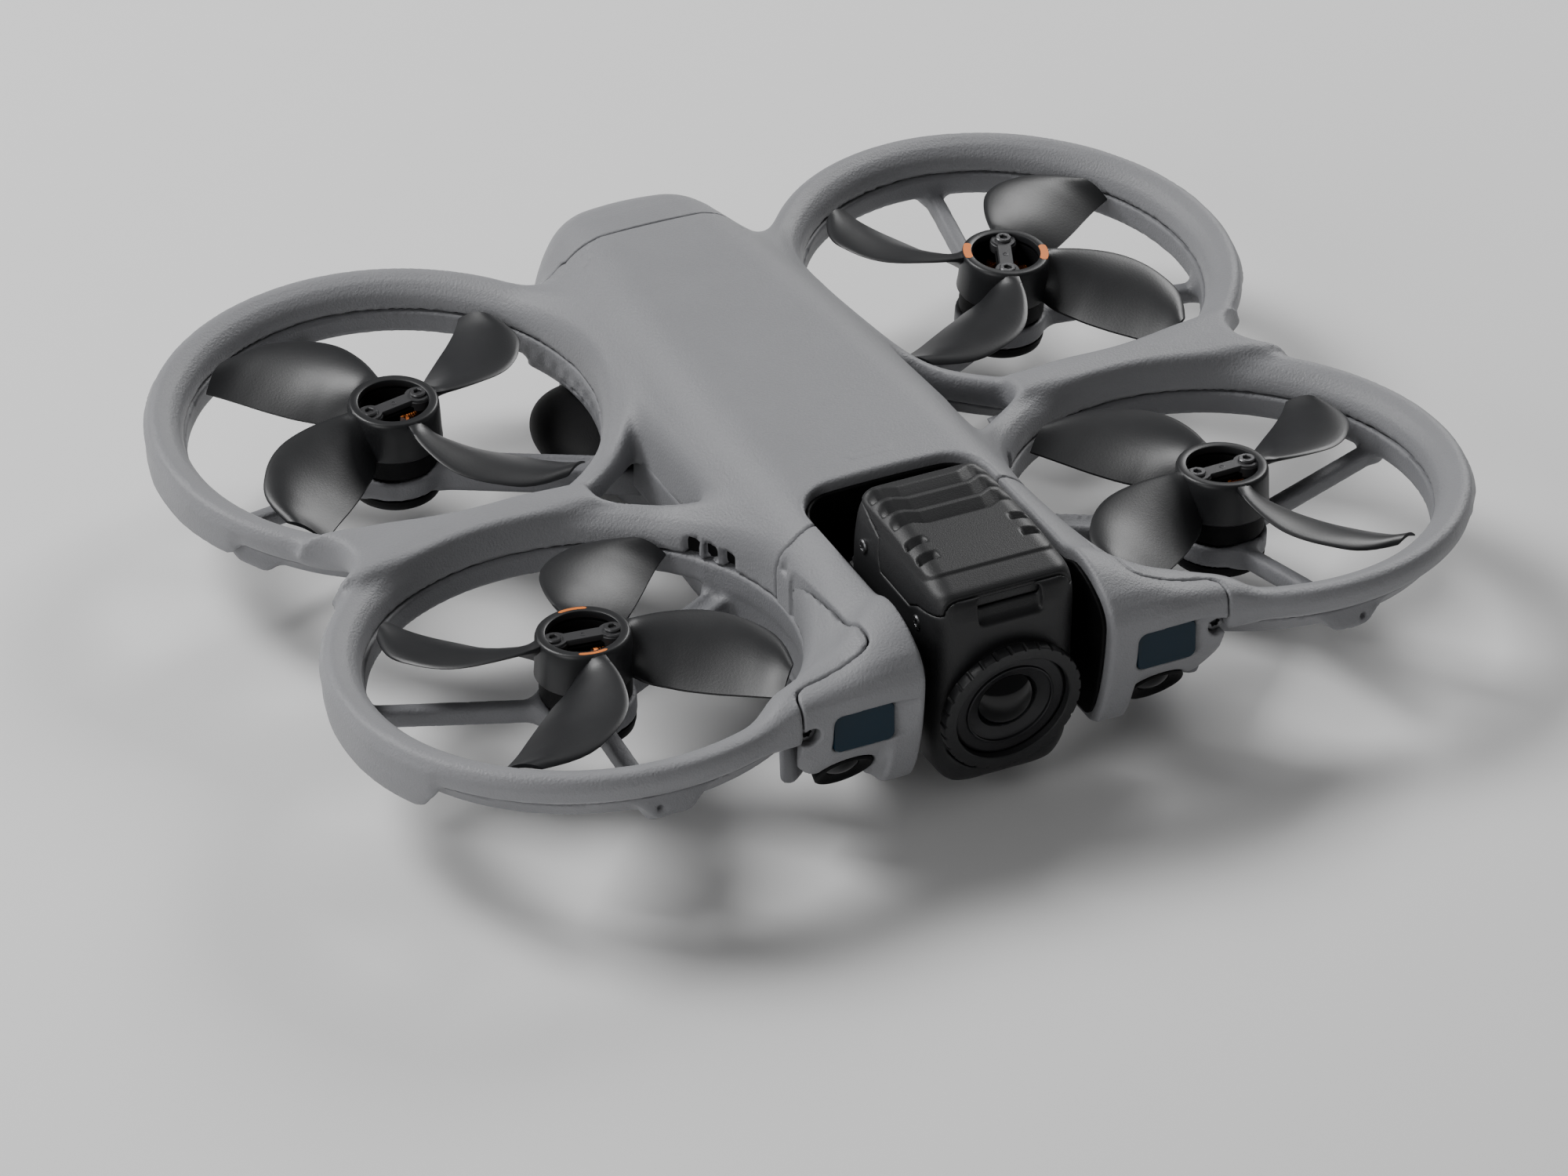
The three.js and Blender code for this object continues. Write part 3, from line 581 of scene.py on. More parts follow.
# A black sheet against the camera bay's walls: painted shade for the bay's deep shadow.
SHADE_SHEET_GAP = 0.08
SHADE_SHEET_THICK = 0.9
SHADE_SHEET_INSET = 2.2
SHADE_SHEET_LOW = -21.4


def bay_shade_sheet(x, y, z):
    """Painted shade: a black sheet that stands against the bay's walls, a little below their rim."""
    opening = bay(x, y, z)
    skin = np.maximum(opening + SHADE_SHEET_GAP, -opening - SHADE_SHEET_GAP - SHADE_SHEET_THICK)
    return both(np.maximum(skin, SHADE_SHEET_LOW - z), hull(x, y, z) + SHADE_SHEET_INSET, 0.3)


# ---- sensors in the prongs ----
WINDOW = (33.4, -4.6, 6.6, 4.3)  # x, z and half sizes
WINDOW_FACE_Y = -95.1
PRONG_SCREW = (45.1, -3.4, 2.0)
COVER_HOLE = (29.3, -48.4, 1.7)


def window_room(side, x, y, z):
    """The pane's opening, and the scoop that runs out of it towards +x."""
    dx, dz = x - side * WINDOW[0], z - WINDOW[1]
    reach, high = WINDOW[2] + 0.15, WINDOW[3] + 0.15
    flat = slab(dx, y, dz, (-reach, -110, -high), (reach, -90.5, high), 1.8)
    scoop = slab(dx, y + 0.34 * (dx - reach), dz, (-2, -110, -high), (reach + 6, -94.0, high), 2.0)
    return join(flat, scoop, 0.5)


def eye_room(side, x, y, z):
    along, away = eye_frame(side, x, y, z)
    return np.maximum(away - EYE[3] - 0.25, -4 - along)


def screw_room(side, x, y, z):
    away = np.hypot(x - side * PRONG_SCREW[0], z - PRONG_SCREW[1])
    well = np.maximum(away - PRONG_SCREW[2] - 0.2, y + 90.0)
    hook = np.hypot(x - side * COVER_HOLE[0], y - COVER_HOLE[1]) - COVER_HOLE[2]
    return np.minimum(well, np.maximum(hook, 1.5 - z))


# ---- lower frame: low duct walls, motor cups, arms, struts and feet ----
ARM_ANGLE = 152.0  # degrees in a corner's own coordinates
STRUT_ANGLES = (15.0, -83.0)
CUP_R = 10.0
CUP_TOP = -14.6
CUP_STEP = -19.3
CUP_SECTION = Section([
    (-4, CUP_STEP), (9.7, CUP_STEP), (CUP_R, -18.4), (CUP_R, CUP_TOP - 0.5), (9.6, CUP_TOP),
    (8.9, CUP_TOP), (8.7, CUP_TOP - 0.4), (8.6, -16.4), (-4, -16.4),
], soft=0.25)


def turned_back(lx, ly, angle):
    """The corner's coordinates with +x along a bar at this angle."""
    c, s = math.cos(math.radians(angle)), math.sin(math.radians(angle))
    return lx * c + ly * s, ly * c - lx * s


def foot(lx, ly, lz, angle):
    u, v = turned_back(lx, ly, angle)
    block = slab(u, v, lz, (44.6, -8.5, -13.9), (48.8, 8.5, -9.0), 1.6)
    drop = np.abs(v) * 0.80 + (-lz) * 0.60 - 11.4
    return both(block, drop, 1.5)


def side_wall(corner, lx, ly, lz):
    """The duct wall beside the body: deep and plain in front, a honeycomb grid behind."""
    r = np.hypot(lx, ly)
    angle = np.degrees(np.arctan2(ly, -lx))
    if corner.sy < 0:
        low, thick, span = -22.8, 3.4, (-56, 34)
    else:
        low, thick, span = -15.5, 1.8, (-28, 31)
    wall = both(r - LIP_R - thick, LIP_R - r, 0.6)
    ends = np.maximum(span[0] - angle, angle - span[1]) * math.radians(LIP_R)
    wall = both(both(wall, ends, 2.0), low - lz, 1.5)
    if corner.sy > 0:
        holes = np.maximum(-honeycomb(np.radians(angle) * LIP_R, lz), lz + 7.9)
        wall = without(wall, np.maximum(holes, low + 1.8 - lz), 0.3)
    return wall


def corner_frame(corner, x, y, z):
    lx, ly, lz = corner.local(x, y, z)
    r = np.hypot(lx, ly)
    wall = both(DUCT_SECTION(r, lz), lz - SEAM_Z + SEAM_GAP, 0.0)
    bars = None
    for angle in STRUT_ANGLES:
        u, v = turned_back(lx, ly, angle)
        rise = 0.11 * np.maximum(u - 8, 0)
        bar = slab(u, v, lz - rise, (6, -1.75, -19.6), (45.8, 1.75, -15.4), 1.1)
        post = slab(u, v, lz, (43.9, -2.4, -14.8), (46.6, 2.4, -10.0), 1.2)
        strut = join(bar, post, 2.5)
        bars = strut if bars is None else np.minimum(bars, strut)
    u, v = turned_back(lx, ly, ARM_ANGLE)
    arm = slab(u, v, lz, (6, -3.3, -21.0), (52.5, 3.3, -14.4), 1.3)
    trough = slab(u, v, lz, (11, -1.5, -15.0), (60, 1.5, -13.0), 0.3)
    arm = without(arm, trough, 0.3)
    cup = CUP_SECTION(r, lz)
    hollow = np.maximum(r - 8.6, -16.4 - lz)
    spokes = without(join(np.minimum(bars, arm), cup, 3.0), hollow)
    spokes = both(spokes, -21.4 - lz)
    feet = foot(lx, ly, lz, -86)
    if corner.sy > 0:
        feet = np.minimum(feet, foot(lx, ly, lz, 30))
    hole_u, hole_v = turned_back(lx, ly, -86)
    hole = np.maximum(np.hypot(hole_v - 2.6, lz + 11.4) - 0.9, 46.5 - hole_u)
    feet = without(feet, hole, 0.2)
    wall = join(wall, side_wall(corner, lx, ly, lz), 1.0)
    spokes = np.maximum(spokes, -belly_block(x, y, z, 0.3))
    whole = join(join(wall, feet, 1.5), spokes, 2.0)
    whole = np.maximum(whole, lz - SEAM_Z + SEAM_GAP)
    return np.maximum(whole, -corner.sy * y)


def lower_frame(x, y, z):
    """All four corners, with the low edge of the web and the side walls between them."""
    parts = [corner_frame(c, x, y, z) for c in CORNERS]
    whole = np.minimum.reduce(parts)
    low_web = both(web(x, y, z + 4.5), np.abs(z + 9.6) - 2.0, 0.5)
    low_web = np.maximum(low_web, seam(x, y, z) + SEAM_GAP)
    side = slab(np.abs(x), y, z, (27.6, -19, -17.0), (30.6, 19, -7.7), 0.8)
    for corner in CORNERS:
        gap = -bore(corner, x, y, z)
        low_web = np.maximum(low_web, gap)
        side = np.maximum(side, gap)
    return np.minimum(whole, np.minimum(low_web, side))


# ---- belly ----
BELLY_LOW = -34.6
VENT_PITCH = 4.3
VENT_WALL = 0.95


def belly_block(x, y, z, grow=0.0):
    half = np.interp(y, (-26, 62, 78), (27.0, 25.5, 22.0)) + grow
    low = (-27, -35.2 - grow, BELLY_LOW - grow)
    return slab(x / half * 27, y, z, low, (27, 78 + grow, -7.7 + 2 * grow), 5.0)


def honeycomb(u, v):
    """Distance to the nearest wall of a hexagon grid, positive inside the cells."""
    best = None
    for shift in (0.0, 0.5):
        a = (u / VENT_PITCH - shift + 0.5) % 1 - 0.5
        b = (v / (VENT_PITCH * 3 ** 0.5) - shift + 0.5) % 1 - 0.5
        du, dv = np.abs(a) * VENT_PITCH, np.abs(b) * VENT_PITCH * 3 ** 0.5
        hexagon = np.maximum(du, du * 0.5 + dv * 0.8660254)
        best = hexagon if best is None else np.minimum(best, hexagon)
    return VENT_PITCH / 2 - VENT_WALL / 2 - best


def belly(x, y, z):
    whole = belly_block(x, y, z)
    for corner in CORNERS:
        lx, ly, lz = corner.local(x, y, z)
        r = np.hypot(lx, ly)
        whole = without(whole, both(r - 50.0, -12.8 - lz), 1.0)
        whole = without(whole, r - 44.2, 3.0)
    hollow = slab(x, y, z, (-18.4, -33, -31.2), (18.4, 120, 0), 2.0)
    port = slab(x, y, z, (-40, -8.0, -24.0), (-20.5, 8.0, -15.0), 0.8)
    pane = slab(x, y, z, (-12.2, -21.2, -40), (12.2, -6.8, -32), 3.0)
    return without(without(without(whole, hollow), port, 0.4), pane, 0.4)


def vent_fairing(x, y, z):
    """The black bulges below the rear ducts' grids."""
    across = np.abs(x)
    lump = np.sqrt(((across - 25) / 14.5) ** 2 + ((y - 47) / 19) ** 2 + ((z + 21.5) / 6.4) ** 2) - 1
    return both(lump * 5.5, 24.4 - across, 0.8)


# ---- camera pod ----
PIVOT = np.array(SPINS["camera_pod"]["pos_m"]) / MM - (0, 0, HUB_LIFT)
LENS_MID = np.array([0, -71.0, -8.05])  # on the lenses' axis, halfway between them
LENS_REACH = 22.2
LENS_TIP = math.radians(7.0)
LENSES = (("front", -1), ("rear", 1))
POD_SIDE = Section([
    (-48.8, -24.0), (-50.5, -28.6), (-56, -30.4), (-86, -30.4), (-90.6, -28.4), (-92.7, -24), (-93.0, -4),
    (-93.0, 6.0), (-92.4, 11.0), (-90.9, 14.6), (-88.6, 16.5), (-84, 17.6), (-76, 18.7), (-66, 19.4),
    (-56, 19.5), (-51.4, 19.1), (-49.4, 17.2), (-48.8, 12),
], soft=0.7)
POD_FRONT = Section([
    (-10.8, 24.5), (-13.0, 19.4), (-15.4, 15.2), (-17.0, 10.0), (-17.3, 4.0), (-17.3, -15), (-15.6, -23.2),
    (-11.5, -28.8), (-7.0, -31), (7.0, -31), (11.5, -28.8), (15.6, -23.2), (17.3, -15), (17.3, 4.0),
    (17.0, 10.0), (15.4, 15.2), (13.0, 19.4), (10.8, 24.5),
], soft=1.0)
HOOD_FRONT_Y = -89.4
HOOD_SIDE = np.array([  # y and height of the hood's lower edge along the pod's sides
    (-90, 12.6), (-88.4, 11.9), (-82, 10.8), (-79, 9.2), (-66.5, 9.4), (-64.8, 12.0), (-63.4, 15.2),
    (-56, 17.0), (-48, 17.6),
])
RIB_LINES = (-57.0, -62.0, -67.0)
SLOT_LINES = (-73.4, -78.6)
POD_CORNER = 9.5
POD_SCREWS = ((-59.0, 10.9), (-82.6, 7.4))  # y and z


def pod_body(x, y, z):
    side = POD_SIDE(y, z)
    front = POD_FRONT(x, z)
    plan = rounded_plan(x, y + 70.9, 17.3, 22.1, POD_CORNER)
    return both(both(side, front, 3.0), plan, 3.0)


def ribs(x, y):
    """How deep the hood's louvres cut at a point: three long steps, whose middle stands a little forward."""
    shift = np.interp(np.abs(x + 1.0 - 2.6 * (x > 0)), (5.6, 8.2), (-0.9, 0.3))
    depth = np.zeros_like(x)
    for line in RIB_LINES:
        back = y - line - shift
        cut = np.clip(back / 0.4, 0, 1) * np.clip(1 - (back - 0.4) / 3.6, 0, 1)
        depth = np.maximum(depth, 1.7 * cut)
    ends = np.clip((13.2 - np.abs(x)) / 2.2, 0, 1)
    depth = depth * ends
    for line in SLOT_LINES:
        back = y - line
        cut = np.clip(back / 0.3, 0, 1) * np.clip(1 - (back - 0.3) / 2.2, 0, 1)
        across = np.clip((2.3 - np.abs(np.abs(x) - 11.4)) / 0.9, 0, 1)
        depth = np.maximum(depth, 1.3 * cut * across)
    return depth


def hood_panel(x, y):
    """Plan of the raised, ribbed panel on the hood."""
    return rounded_plan(x, y + 67.3, 14.4, 16.4, 3)


def pod_split(x, y, z):
    """Positive in the hood, negative in the housing."""
    low = np.interp(y, HOOD_SIDE[:, 0], HOOD_SIDE[:, 1])
    return np.minimum(y - HOOD_FRONT_Y, z - low)


def pod_hood(x, y, z):
    raised = 0.35 * np.clip(-hood_panel(x, y) / 0.7, 0, 1) * (z > 8)
    skin = pod_body(x, y, z) - raised + 0.35
    skin = skin + ribs(x, y) * (z > 10)
    return both(np.maximum(skin, GROOVE * 0.8 - pod_split(x, y, z)), 4.6 - z, 0.3)


def lens_frame(way, x, y, z):
    """Distance in front of a lens ring's seat, and from its axis, which tips down towards the nose."""
    dy, dz = y - LENS_MID[1], z - LENS_MID[2]
    along = dy * math.cos(LENS_TIP) + dz * math.sin(LENS_TIP)
    up = dz * math.cos(LENS_TIP) - dy * math.sin(LENS_TIP)
    return along * way - LENS_REACH, np.hypot(x, up)


def pod_housing(x, y, z):
    skin = pod_body(x, y, z) + 0.35
    kept = np.maximum(skin, pod_split(x, y, z) + GROOVE * 0.8)
    thumb = slab(x, y - 0.30 * (z - 12.5), z, (-7.0, -106, 9.2), (7.0, -89.6, 14.6), 1.1)
    kept = without(kept, thumb, 0.4)
    for _, way in LENSES:
        along, away = lens_frame(way, x, y, z)
        kept = without(kept, np.maximum(away - 13.1, -3.6 - along), 0.3)
        kept = without(kept, np.maximum(away - 15.5, -1.6 - along), 0.4)
    for screw_y, screw_z in POD_SCREWS:
        kept = without(kept, np.hypot(y - screw_y, z - screw_z) - 1.9 + 9 * (np.abs(x) < 16.2), 0.8)
    for side in (-1, 1):
        hub = np.hypot(y - PIVOT[1], z - PIVOT[2])
        kept = without(kept, np.maximum(hub - 7.7, 16.9 - side * x), 0.3)
    return kept


# ---- turned, lofted and flat pieces as vertex and face lists ----
class Shape:
    """Vertices in millimetres and faces, gathered part by part."""

    def __init__(self):
        self.points, self.faces = [], []

    def add(self, points, faces):
        first = len(self.points)
        self.points += [tuple(p) for p in points]
        self.faces += [tuple(first + i for i in face) for face in faces]
        return self

    def moved(self, matrix, origin=(0, 0, 0)):
        copy = Shape()
        turned = np.array(self.points) @ np.array(matrix).T + origin
        copy.add(turned, self.faces)
        if np.linalg.det(np.array(matrix)) < 0:
            copy.faces = [face[::-1] for face in copy.faces]
        return copy

    def merge(self, *others):
        for other in others:
            self.add(other.points, other.faces)
        return self


def circle(r, z, count=48, sides=0, notch=0.0):
    """A ring of points; with sides it is a polygon, with notch a six-lobed star."""
    out = []
    for i in range(count):
        a = 2 * math.pi * i / count
        s = r
        if sides:
            s = r / math.cos((a % (2 * math.pi / sides)) - math.pi / sides)
        s += notch * math.cos(6 * a)
        out.append((s * math.cos(a), s * math.sin(a), z))
    return out


def loft(sections, closed=False):
    """Skin over loops with the same number of points; the end loops are capped unless closed on itself."""
    n = len(sections[0])
    points = [p for loop in sections for p in loop]
    faces = []
    pairs = list(zip(range(len(sections)), range(1, len(sections))))
    if closed:
        pairs.append((len(sections) - 1, 0))
    for a, b in pairs:
        for i in range(n):
            j = (i + 1) % n
            faces.append((a * n + i, a * n + j, b * n + j, b * n + i))
    if not closed:
        faces.append(tuple(range(n))[::-1])
        faces.append(tuple((len(sections) - 1) * n + i for i in range(n)))
    return Shape().add(points, faces)


def turned(profile, count=64, closed=False):
    """A solid of revolution from [radius, height] points, listed upwards along the outside."""
    return loft([circle(max(r, 0.02), z, count) for r, z in profile], closed)


def rounded_rect(half_x, half_y, r, z, steps=6):
    out = []
    for k, (sx, sy) in enumerate(((1, 1), (-1, 1), (-1, -1), (1, -1))):
        for i in range(steps + 1):
            a = math.pi / 2 * (k + i / steps)
            out.append((sx * (half_x - r) + r * math.cos(a), sy * (half_y - r) + r * math.sin(a), z))
    return out


def pad(half_x, half_y, r, low, high, bevel=0.3):
    """A flat piece with rounded corners and bevelled edges."""
    levels = ((low, bevel), (low + bevel, 0), (high - bevel, 0), (high, bevel))
    return loft([rounded_rect(half_x - b, half_y - b, max(r - b, 0.1), z) for z, b in levels])


def capped_screw(r, low, high, socket, sides=6, notch=0.0, count=48):
    """A screw head with a bevelled rim and a socket."""
    outer = ((r, low), (r, high - 0.25), (r - 0.22, high))
    inner = ((socket + 0.12, high), (socket, high - 0.15), (socket, high - 0.9))
    rings = [circle(a, z, count) for a, z in outer]
    rings += [circle(a, z, count, sides, notch) for a, z in inner]
    return loft(rings)


def finish_piece(name, shape, smooth_angle=38.0):
    """A Blender object from a shape in millimetres about the hub tops."""
    mesh = bpy.data.meshes.new(name)
    place = (np.array(shape.points) + (0, 0, HUB_LIFT)) * MM
    mesh.from_pydata(place.tolist(), [], shape.faces)
    mesh.validate()
    mesh.update()
    mesh.shade_smooth()
    mesh.set_sharp_from_angle(angle=math.radians(smooth_angle))
    return linked(name, mesh)


# ---- rotors ----
# Blade stations: radius, leading angle and height, trailing angle and height, thickness.
BLADE = np.array([
    (8.6, -52.5, -1.0, -5.0, -8.7, 1.6), (12, -51.5, -1.0, 0.5, -9.1, 1.5), (19, -48, -1.3, 1.5, -9.3, 1.3),
    (27, -42, -2.1, 0.5, -9.0, 1.15), (34, -32, -3.0, -0.5, -8.4, 1.05), (39, -22.5, -4.0, -0.5, -7.7, 0.95),
    (41.9, -12.5, -4.7, 0, -7.1, 0.8),
])
BLADE_STATIONS = 40
CHORD_POINTS = 12
BLADE_LEAD = 38.0  # degrees from the screw bar to a blade's trailing edge
ROOT_FLARE = 1.5


def eased(x, table, column):
    """A smooth curve through a table's column."""
    xs, ys = table[:, 0], table[:, column]
    slopes = np.gradient(ys, xs)
    i = int(np.clip(np.searchsorted(xs, x) - 1, 0, len(xs) - 2))
    h = xs[i + 1] - xs[i]
    t = (x - xs[i]) / h
    a = (1 + 2 * t) * (1 - t) ** 2
    b = t * (1 - t) ** 2
    c = t * t * (3 - 2 * t)
    d = t * t * (t - 1)
    return a * ys[i] + b * h * slopes[i] + c * ys[i + 1] + d * h * slopes[i + 1]


def blade_loop(r):
    lead, lead_z, trail, trail_z, thick = (eased(r, BLADE, k) for k in range(1, 6))
    flare = ROOT_FLARE * math.exp(-max(r - 9.4, 0) / 1.3)
    upper, lower = [], []
    for i in range(CHORD_POINTS + 1):
        t = (1 - math.cos(math.pi * i / CHORD_POINTS)) / 2
        angle = math.radians(lead + (trail - lead) * t)
        z = lead_z + (trail_z - lead_z) * t + 1.3 * math.sin(math.pi * t)
        swell = 2.6 * math.sqrt(t) * (1 - t) + 0.25 * t
        half = thick * 0.5 * swell + 0.09 + flare * math.sin(math.pi * t) ** 0.5
        at = (r * math.cos(angle), r * math.sin(angle))
        upper.append((*at, min(z + half, -0.35)))
        lower.append((*at, z - half * 0.8))
    return upper + lower[::-1]


def blade():
    radii = 8.7 + (41.9 - 8.7) * np.linspace(0, 1, BLADE_STATIONS) ** 1.15
    return loft([blade_loop(r) for r in radii])


HUB_PROFILE = [
    (8.5, -9.3), (9.9, -9.3), (10.15, -9.0), (9.95, -7.0), (9.75, -3.0), (9.6, -0.9), (9.42, -0.35),
    (9.1, -0.06), (8.9, 0.0), (7.75, 0.0), (7.5, -0.12), (7.4, -0.4), (7.4, -1.5), (8.5, -1.9),
]
BAR_TOP = -0.75
SCREW_AT = 6.0
DIMPLE = ((0.62, -0.3), (0.62, 0.05), (0.4, 0.08), (0.3, -0.2))  # radius and height over the bar's top


def boolean(piece, other, operation):
    step = piece.modifiers.new("cut", "BOOLEAN")
    step.operation = operation
    step.solver = "EXACT"
    step.object = other
    apply_modifiers(piece)
    bpy.data.objects.remove(other)


def spin_matrix(angle):
    c, s = math.cos(math.radians(angle)), math.sin(math.radians(angle))
    return np.array([[c, -s, 0], [s, c, 0], [0, 0, 1]])


def on_corner(name, shape, corner, smooth_angle=38.0):
    """Stands a rotor piece, drawn at the origin for a clockwise rotor with its bar along x, on its corner."""
    hand = np.diag([1, 1 if corner.clockwise else -1, 1])
    stood = shape.moved(corner.turn @ spin_matrix(corner.rest) @ hand, corner.centre)
    return finish_piece(corner.tag + name, stood, smooth_angle)


def propeller(corner):
    piece = on_corner("_propeller_skin", turned(HUB_PROFILE, 96, closed=True), corner)
    blades = Shape().merge(*[blade().moved(spin_matrix(BLADE_LEAD + 90 * k)) for k in range(4)])
    boolean(piece, on_corner("_blades", blades, corner), "UNION")
    boolean(piece, on_corner("_core", turned([(8.5, -12), (8.5, -1.9)], 96), corner), "DIFFERENCE")
    piece.data.shade_smooth()
    piece.data.set_sharp_from_angle(angle=math.radians(42))
    return piece


def dog_bone(length, width, lug, low, high):
    """A bar with round lugs at both ends."""
    outline = []
    bend = math.asin(width / lug)
    for side in (1, -1):
        for i in range(25):
            a = -math.pi + bend + (2 * math.pi - 2 * bend) * i / 24
            outline.append((side * (length + lug * math.cos(a)), side * lug * math.sin(a)))
    levels = ((low, 0.0), (high - 0.25, 0.0), (high, 0.25))
    return loft([[(u * (1 - b / 12), v * (1 - b / 2.6), z) for u, v in outline] for z, b in levels])


def arc_strip(radius, width, middle, span, low, high, steps=24):
    """A short raised arc with round ends."""
    sections = []
    for i in range(steps + 1):
        t = i / steps
        a = math.radians(middle + (t - 0.5) * span)
        half = width / 2 * math.sqrt(max(1 - (2 * t - 1) ** 12, 0.02))
        c, s = math.cos(a), math.sin(a)
        inner, outer = radius - half, radius + half
        sections.append([(inner * c, inner * s, low), (outer * c, outer * s, low),
                         (outer * c, outer * s, high), (inner * c, inner * s, high)])
    return loft(sections)


def hub_bar(corner):
    bar = dog_bone(SCREW_AT, 1.55, 2.75, -1.9, BAR_TOP)
    lug = turned([(2.9, -3.2), (2.9, -1.35), (2.6, -1.0), (2.2, -0.95)], 40)
    lugs = [lug.moved(np.eye(3), (s * SCREW_AT, 0, 0)) for s in (-1, 1)]
    dimple = turned([(r, BAR_TOP + rise) for r, rise in DIMPLE], 20)
    return on_corner("_screw_bar", Shape().merge(bar, *lugs, dimple), corner)


def bell(corner):
    can = turned([
        (7.2, -14.0), (9.0, -14.2), (9.3, -14.0), (9.35, -12.2), (9.25, -9.7), (8.3, -9.5), (8.2, -2.3),
        (7.9, -2.1), (7.3, -2.1), (7.2, -2.4),
    ], 72, closed=True)
    stud = turned([(0.9, -5.2), (0.9, -4.9)], 16)
    studs = [stud.moved(np.eye(3), (7.6 * math.cos(a), 7.6 * math.sin(a), 0)) for a in (0.6, 2.5, 3.7, 5.7)]
    axle = turned([(1.2, -6.2), (1.5, -3.4), (1.5, -2.6)], 24)
    spokes = pad(8.0, 1.9, 0.6, -3.4, -2.3, 0.2)
    return on_corner("_bell_can", Shape().merge(can, axle, spokes, *studs), corner)


WINDING_COUNT = 12


def stator(corner):
    """Teeth wound with copper round a dark core."""
    coils, core = Shape(), Shape()
    core.merge(turned([(1.6, -16.1), (3.1, -16.1), (3.1, -6.3), (1.6, -6.3)], 32, closed=True))
    core.merge(turned([(3.0, -10.6), (3.9, -10.6), (3.9, -7.9), (3.0, -7.9)], 32, closed=True))
    for k in range(WINDING_COUNT):
        turn = spin_matrix(360 * k / WINDING_COUNT)
        for step in range(5):
            r = 3.55 + step * 0.52
            levels = ((-12.8, 0.3), (-12.4, 0.0), (-6.0, 0.0), (-5.5, 0.12), (-5.3, 0.35))
            coil = loft([rounded_rect(0.24 - b / 3, 0.85 - b, 0.1, z, 2) for z, b in levels])
            coils.merge(coil.moved(turn, turn @ (r, 0, 0)))
        core.merge(pad(0.32, 0.9, 0.2, -11.4, -7.0, 0.1).moved(turn, turn @ (6.35, 0, 0)))
    return on_corner("_coils", coils, corner, 60), on_corner("_stator_core", core, corner)


def motor_base(corner):
    """The dark lower part of the motor cup."""
    base = turned([(6.0, -22.0), (8.9, -22.0), (9.4, -21.6), (9.75, -20.4), (9.8, CUP_STEP - 0.15)], 64)
    return on_corner("_motor_base", base, corner)


def hub_screws(corner):
    head = capped_screw(1.75, -1.4, -0.1, 0.78)
    heads = [head.moved(np.eye(3), (s * SCREW_AT, 0, 0)) for s in (-1, 1)]
    return on_corner("_hub_screws", Shape().merge(*heads), corner)


ARC_WIDTHS = {"front_left": 0.75, "rear_right": 1.7}


def hub_arcs(corner):
    """The two painted arcs on the hub's top."""
    arcs = [arc_strip(8.45, ARC_WIDTHS[corner.tag], middle, 40, -0.12, 0.03) for middle in (90, 270)]
    return on_corner("_hub_arcs", Shape().merge(*arcs), corner)


# ---- pieces that face forward, back or sideways ----
def facing_y(way):
    """Turns a piece drawn along z to look along +y or -y."""
    return np.array([[1, 0, 0], [0, 0, way], [0, -way, 0]])


def facing_x(way):
    return np.array([[0, 0, way], [way, 0, 0], [0, 1, 0]])


def tipped_down(angle):
    """Turns a piece drawn along z to look forward and down by an angle."""
    c, s = math.cos(math.radians(angle)), math.sin(math.radians(angle))
    return np.array([[1, 0, 0], [0, -s, -c], [0, c, -s]])


KNURLS = 30
RIM_POINTS = KNURLS * 10  # points round a lens ring's rim, ten to each notch and its land


def knurled(r, z, depth):
    """A ring of points with shallow notches."""
    out = []
    for i in range(RIM_POINTS):
        a = 2 * math.pi * i / RIM_POINTS
        s = r - (depth if i % 10 in (0, 1) else 0)
        out.append((s * math.cos(a), s * math.sin(a), z))
    return out


def lens_seat(way):
    """The turn and origin that stand a piece drawn along z on a lens ring's seat."""
    tip = np.array(Matrix.Rotation(LENS_TIP, 3, "X"))
    return tip @ facing_y(way), LENS_MID + tip @ (0, way * LENS_REACH, 0)


RING_FACE = ((14.4, 0.95), (12.65, 0.95), (12.4, 0.75), (12.3, -0.6), (12.9, -0.8))


def lens_ring(way):
    """The screwed ring round a lens: a notched edge and a flat face."""
    loops = [circle(r, z, RIM_POINTS) for r, z in ((12.9, -1.5), (14.9, -1.5))]
    loops += [knurled(15.1, -1.2, 0.4), knurled(15.1, 0.5, 0.4), knurled(14.9, 0.85, 0.3)]
    loops += [circle(r, z, RIM_POINTS) for r, z in RING_FACE]
    return loft(loops, closed=True).moved(*lens_seat(way))


def lens_funnel(way):
    profile = [(5.6, -3.2), (12.2, -3.2), (12.2, -0.9), (11.9, -0.6), (11.4, -0.5), (9.9, -0.9), (9.6, -0.8),
               (9.45, -0.35), (9.25, -0.25), (9.05, -0.4), (9.0, -0.9), (8.4, -1.3), (6.6, -1.7), (5.6, -2.4)]
    return turned(profile, 96, closed=True).moved(*lens_seat(way))


def dome(r, height, z, rings):
    """The profile of a spherical cap on a short rim."""
    ball = (r * r + height * height) / (2 * height)
    top = math.asin(r / ball)
    out = [(r, z - 0.4)]
    for i in range(rings + 1):
        a = top * (1 - i / rings)
        out.append((ball * math.sin(a), z + ball * math.cos(a) - (ball - height)))
    return out


def lens_dome(way):
    return turned(dome(6.5, 2.9, -1.7, 14), 96).moved(*lens_seat(way))


def side_cap(side):
    cap = turned([(6.5, -1.4), (7.45, -1.4), (7.45, -0.5), (7.1, -0.15), (5.9, 0.0), (2.2, 0.0), (2.0, -0.2),
                  (1.0, -0.2)], 64)
    return cap.moved(facing_x(side), (side * 18.4, PIVOT[1], PIVOT[2]))


def pod_screws():
    out = Shape()
    for side in (-1, 1):
        for y, z in POD_SCREWS:
            head = capped_screw(1.55, -0.9, 0.3, 0.62, 0, 0.12)
            out.merge(head.moved(facing_x(side), (side * 16.1, y, z)))
    return finish_piece("pod_side_screws", out)


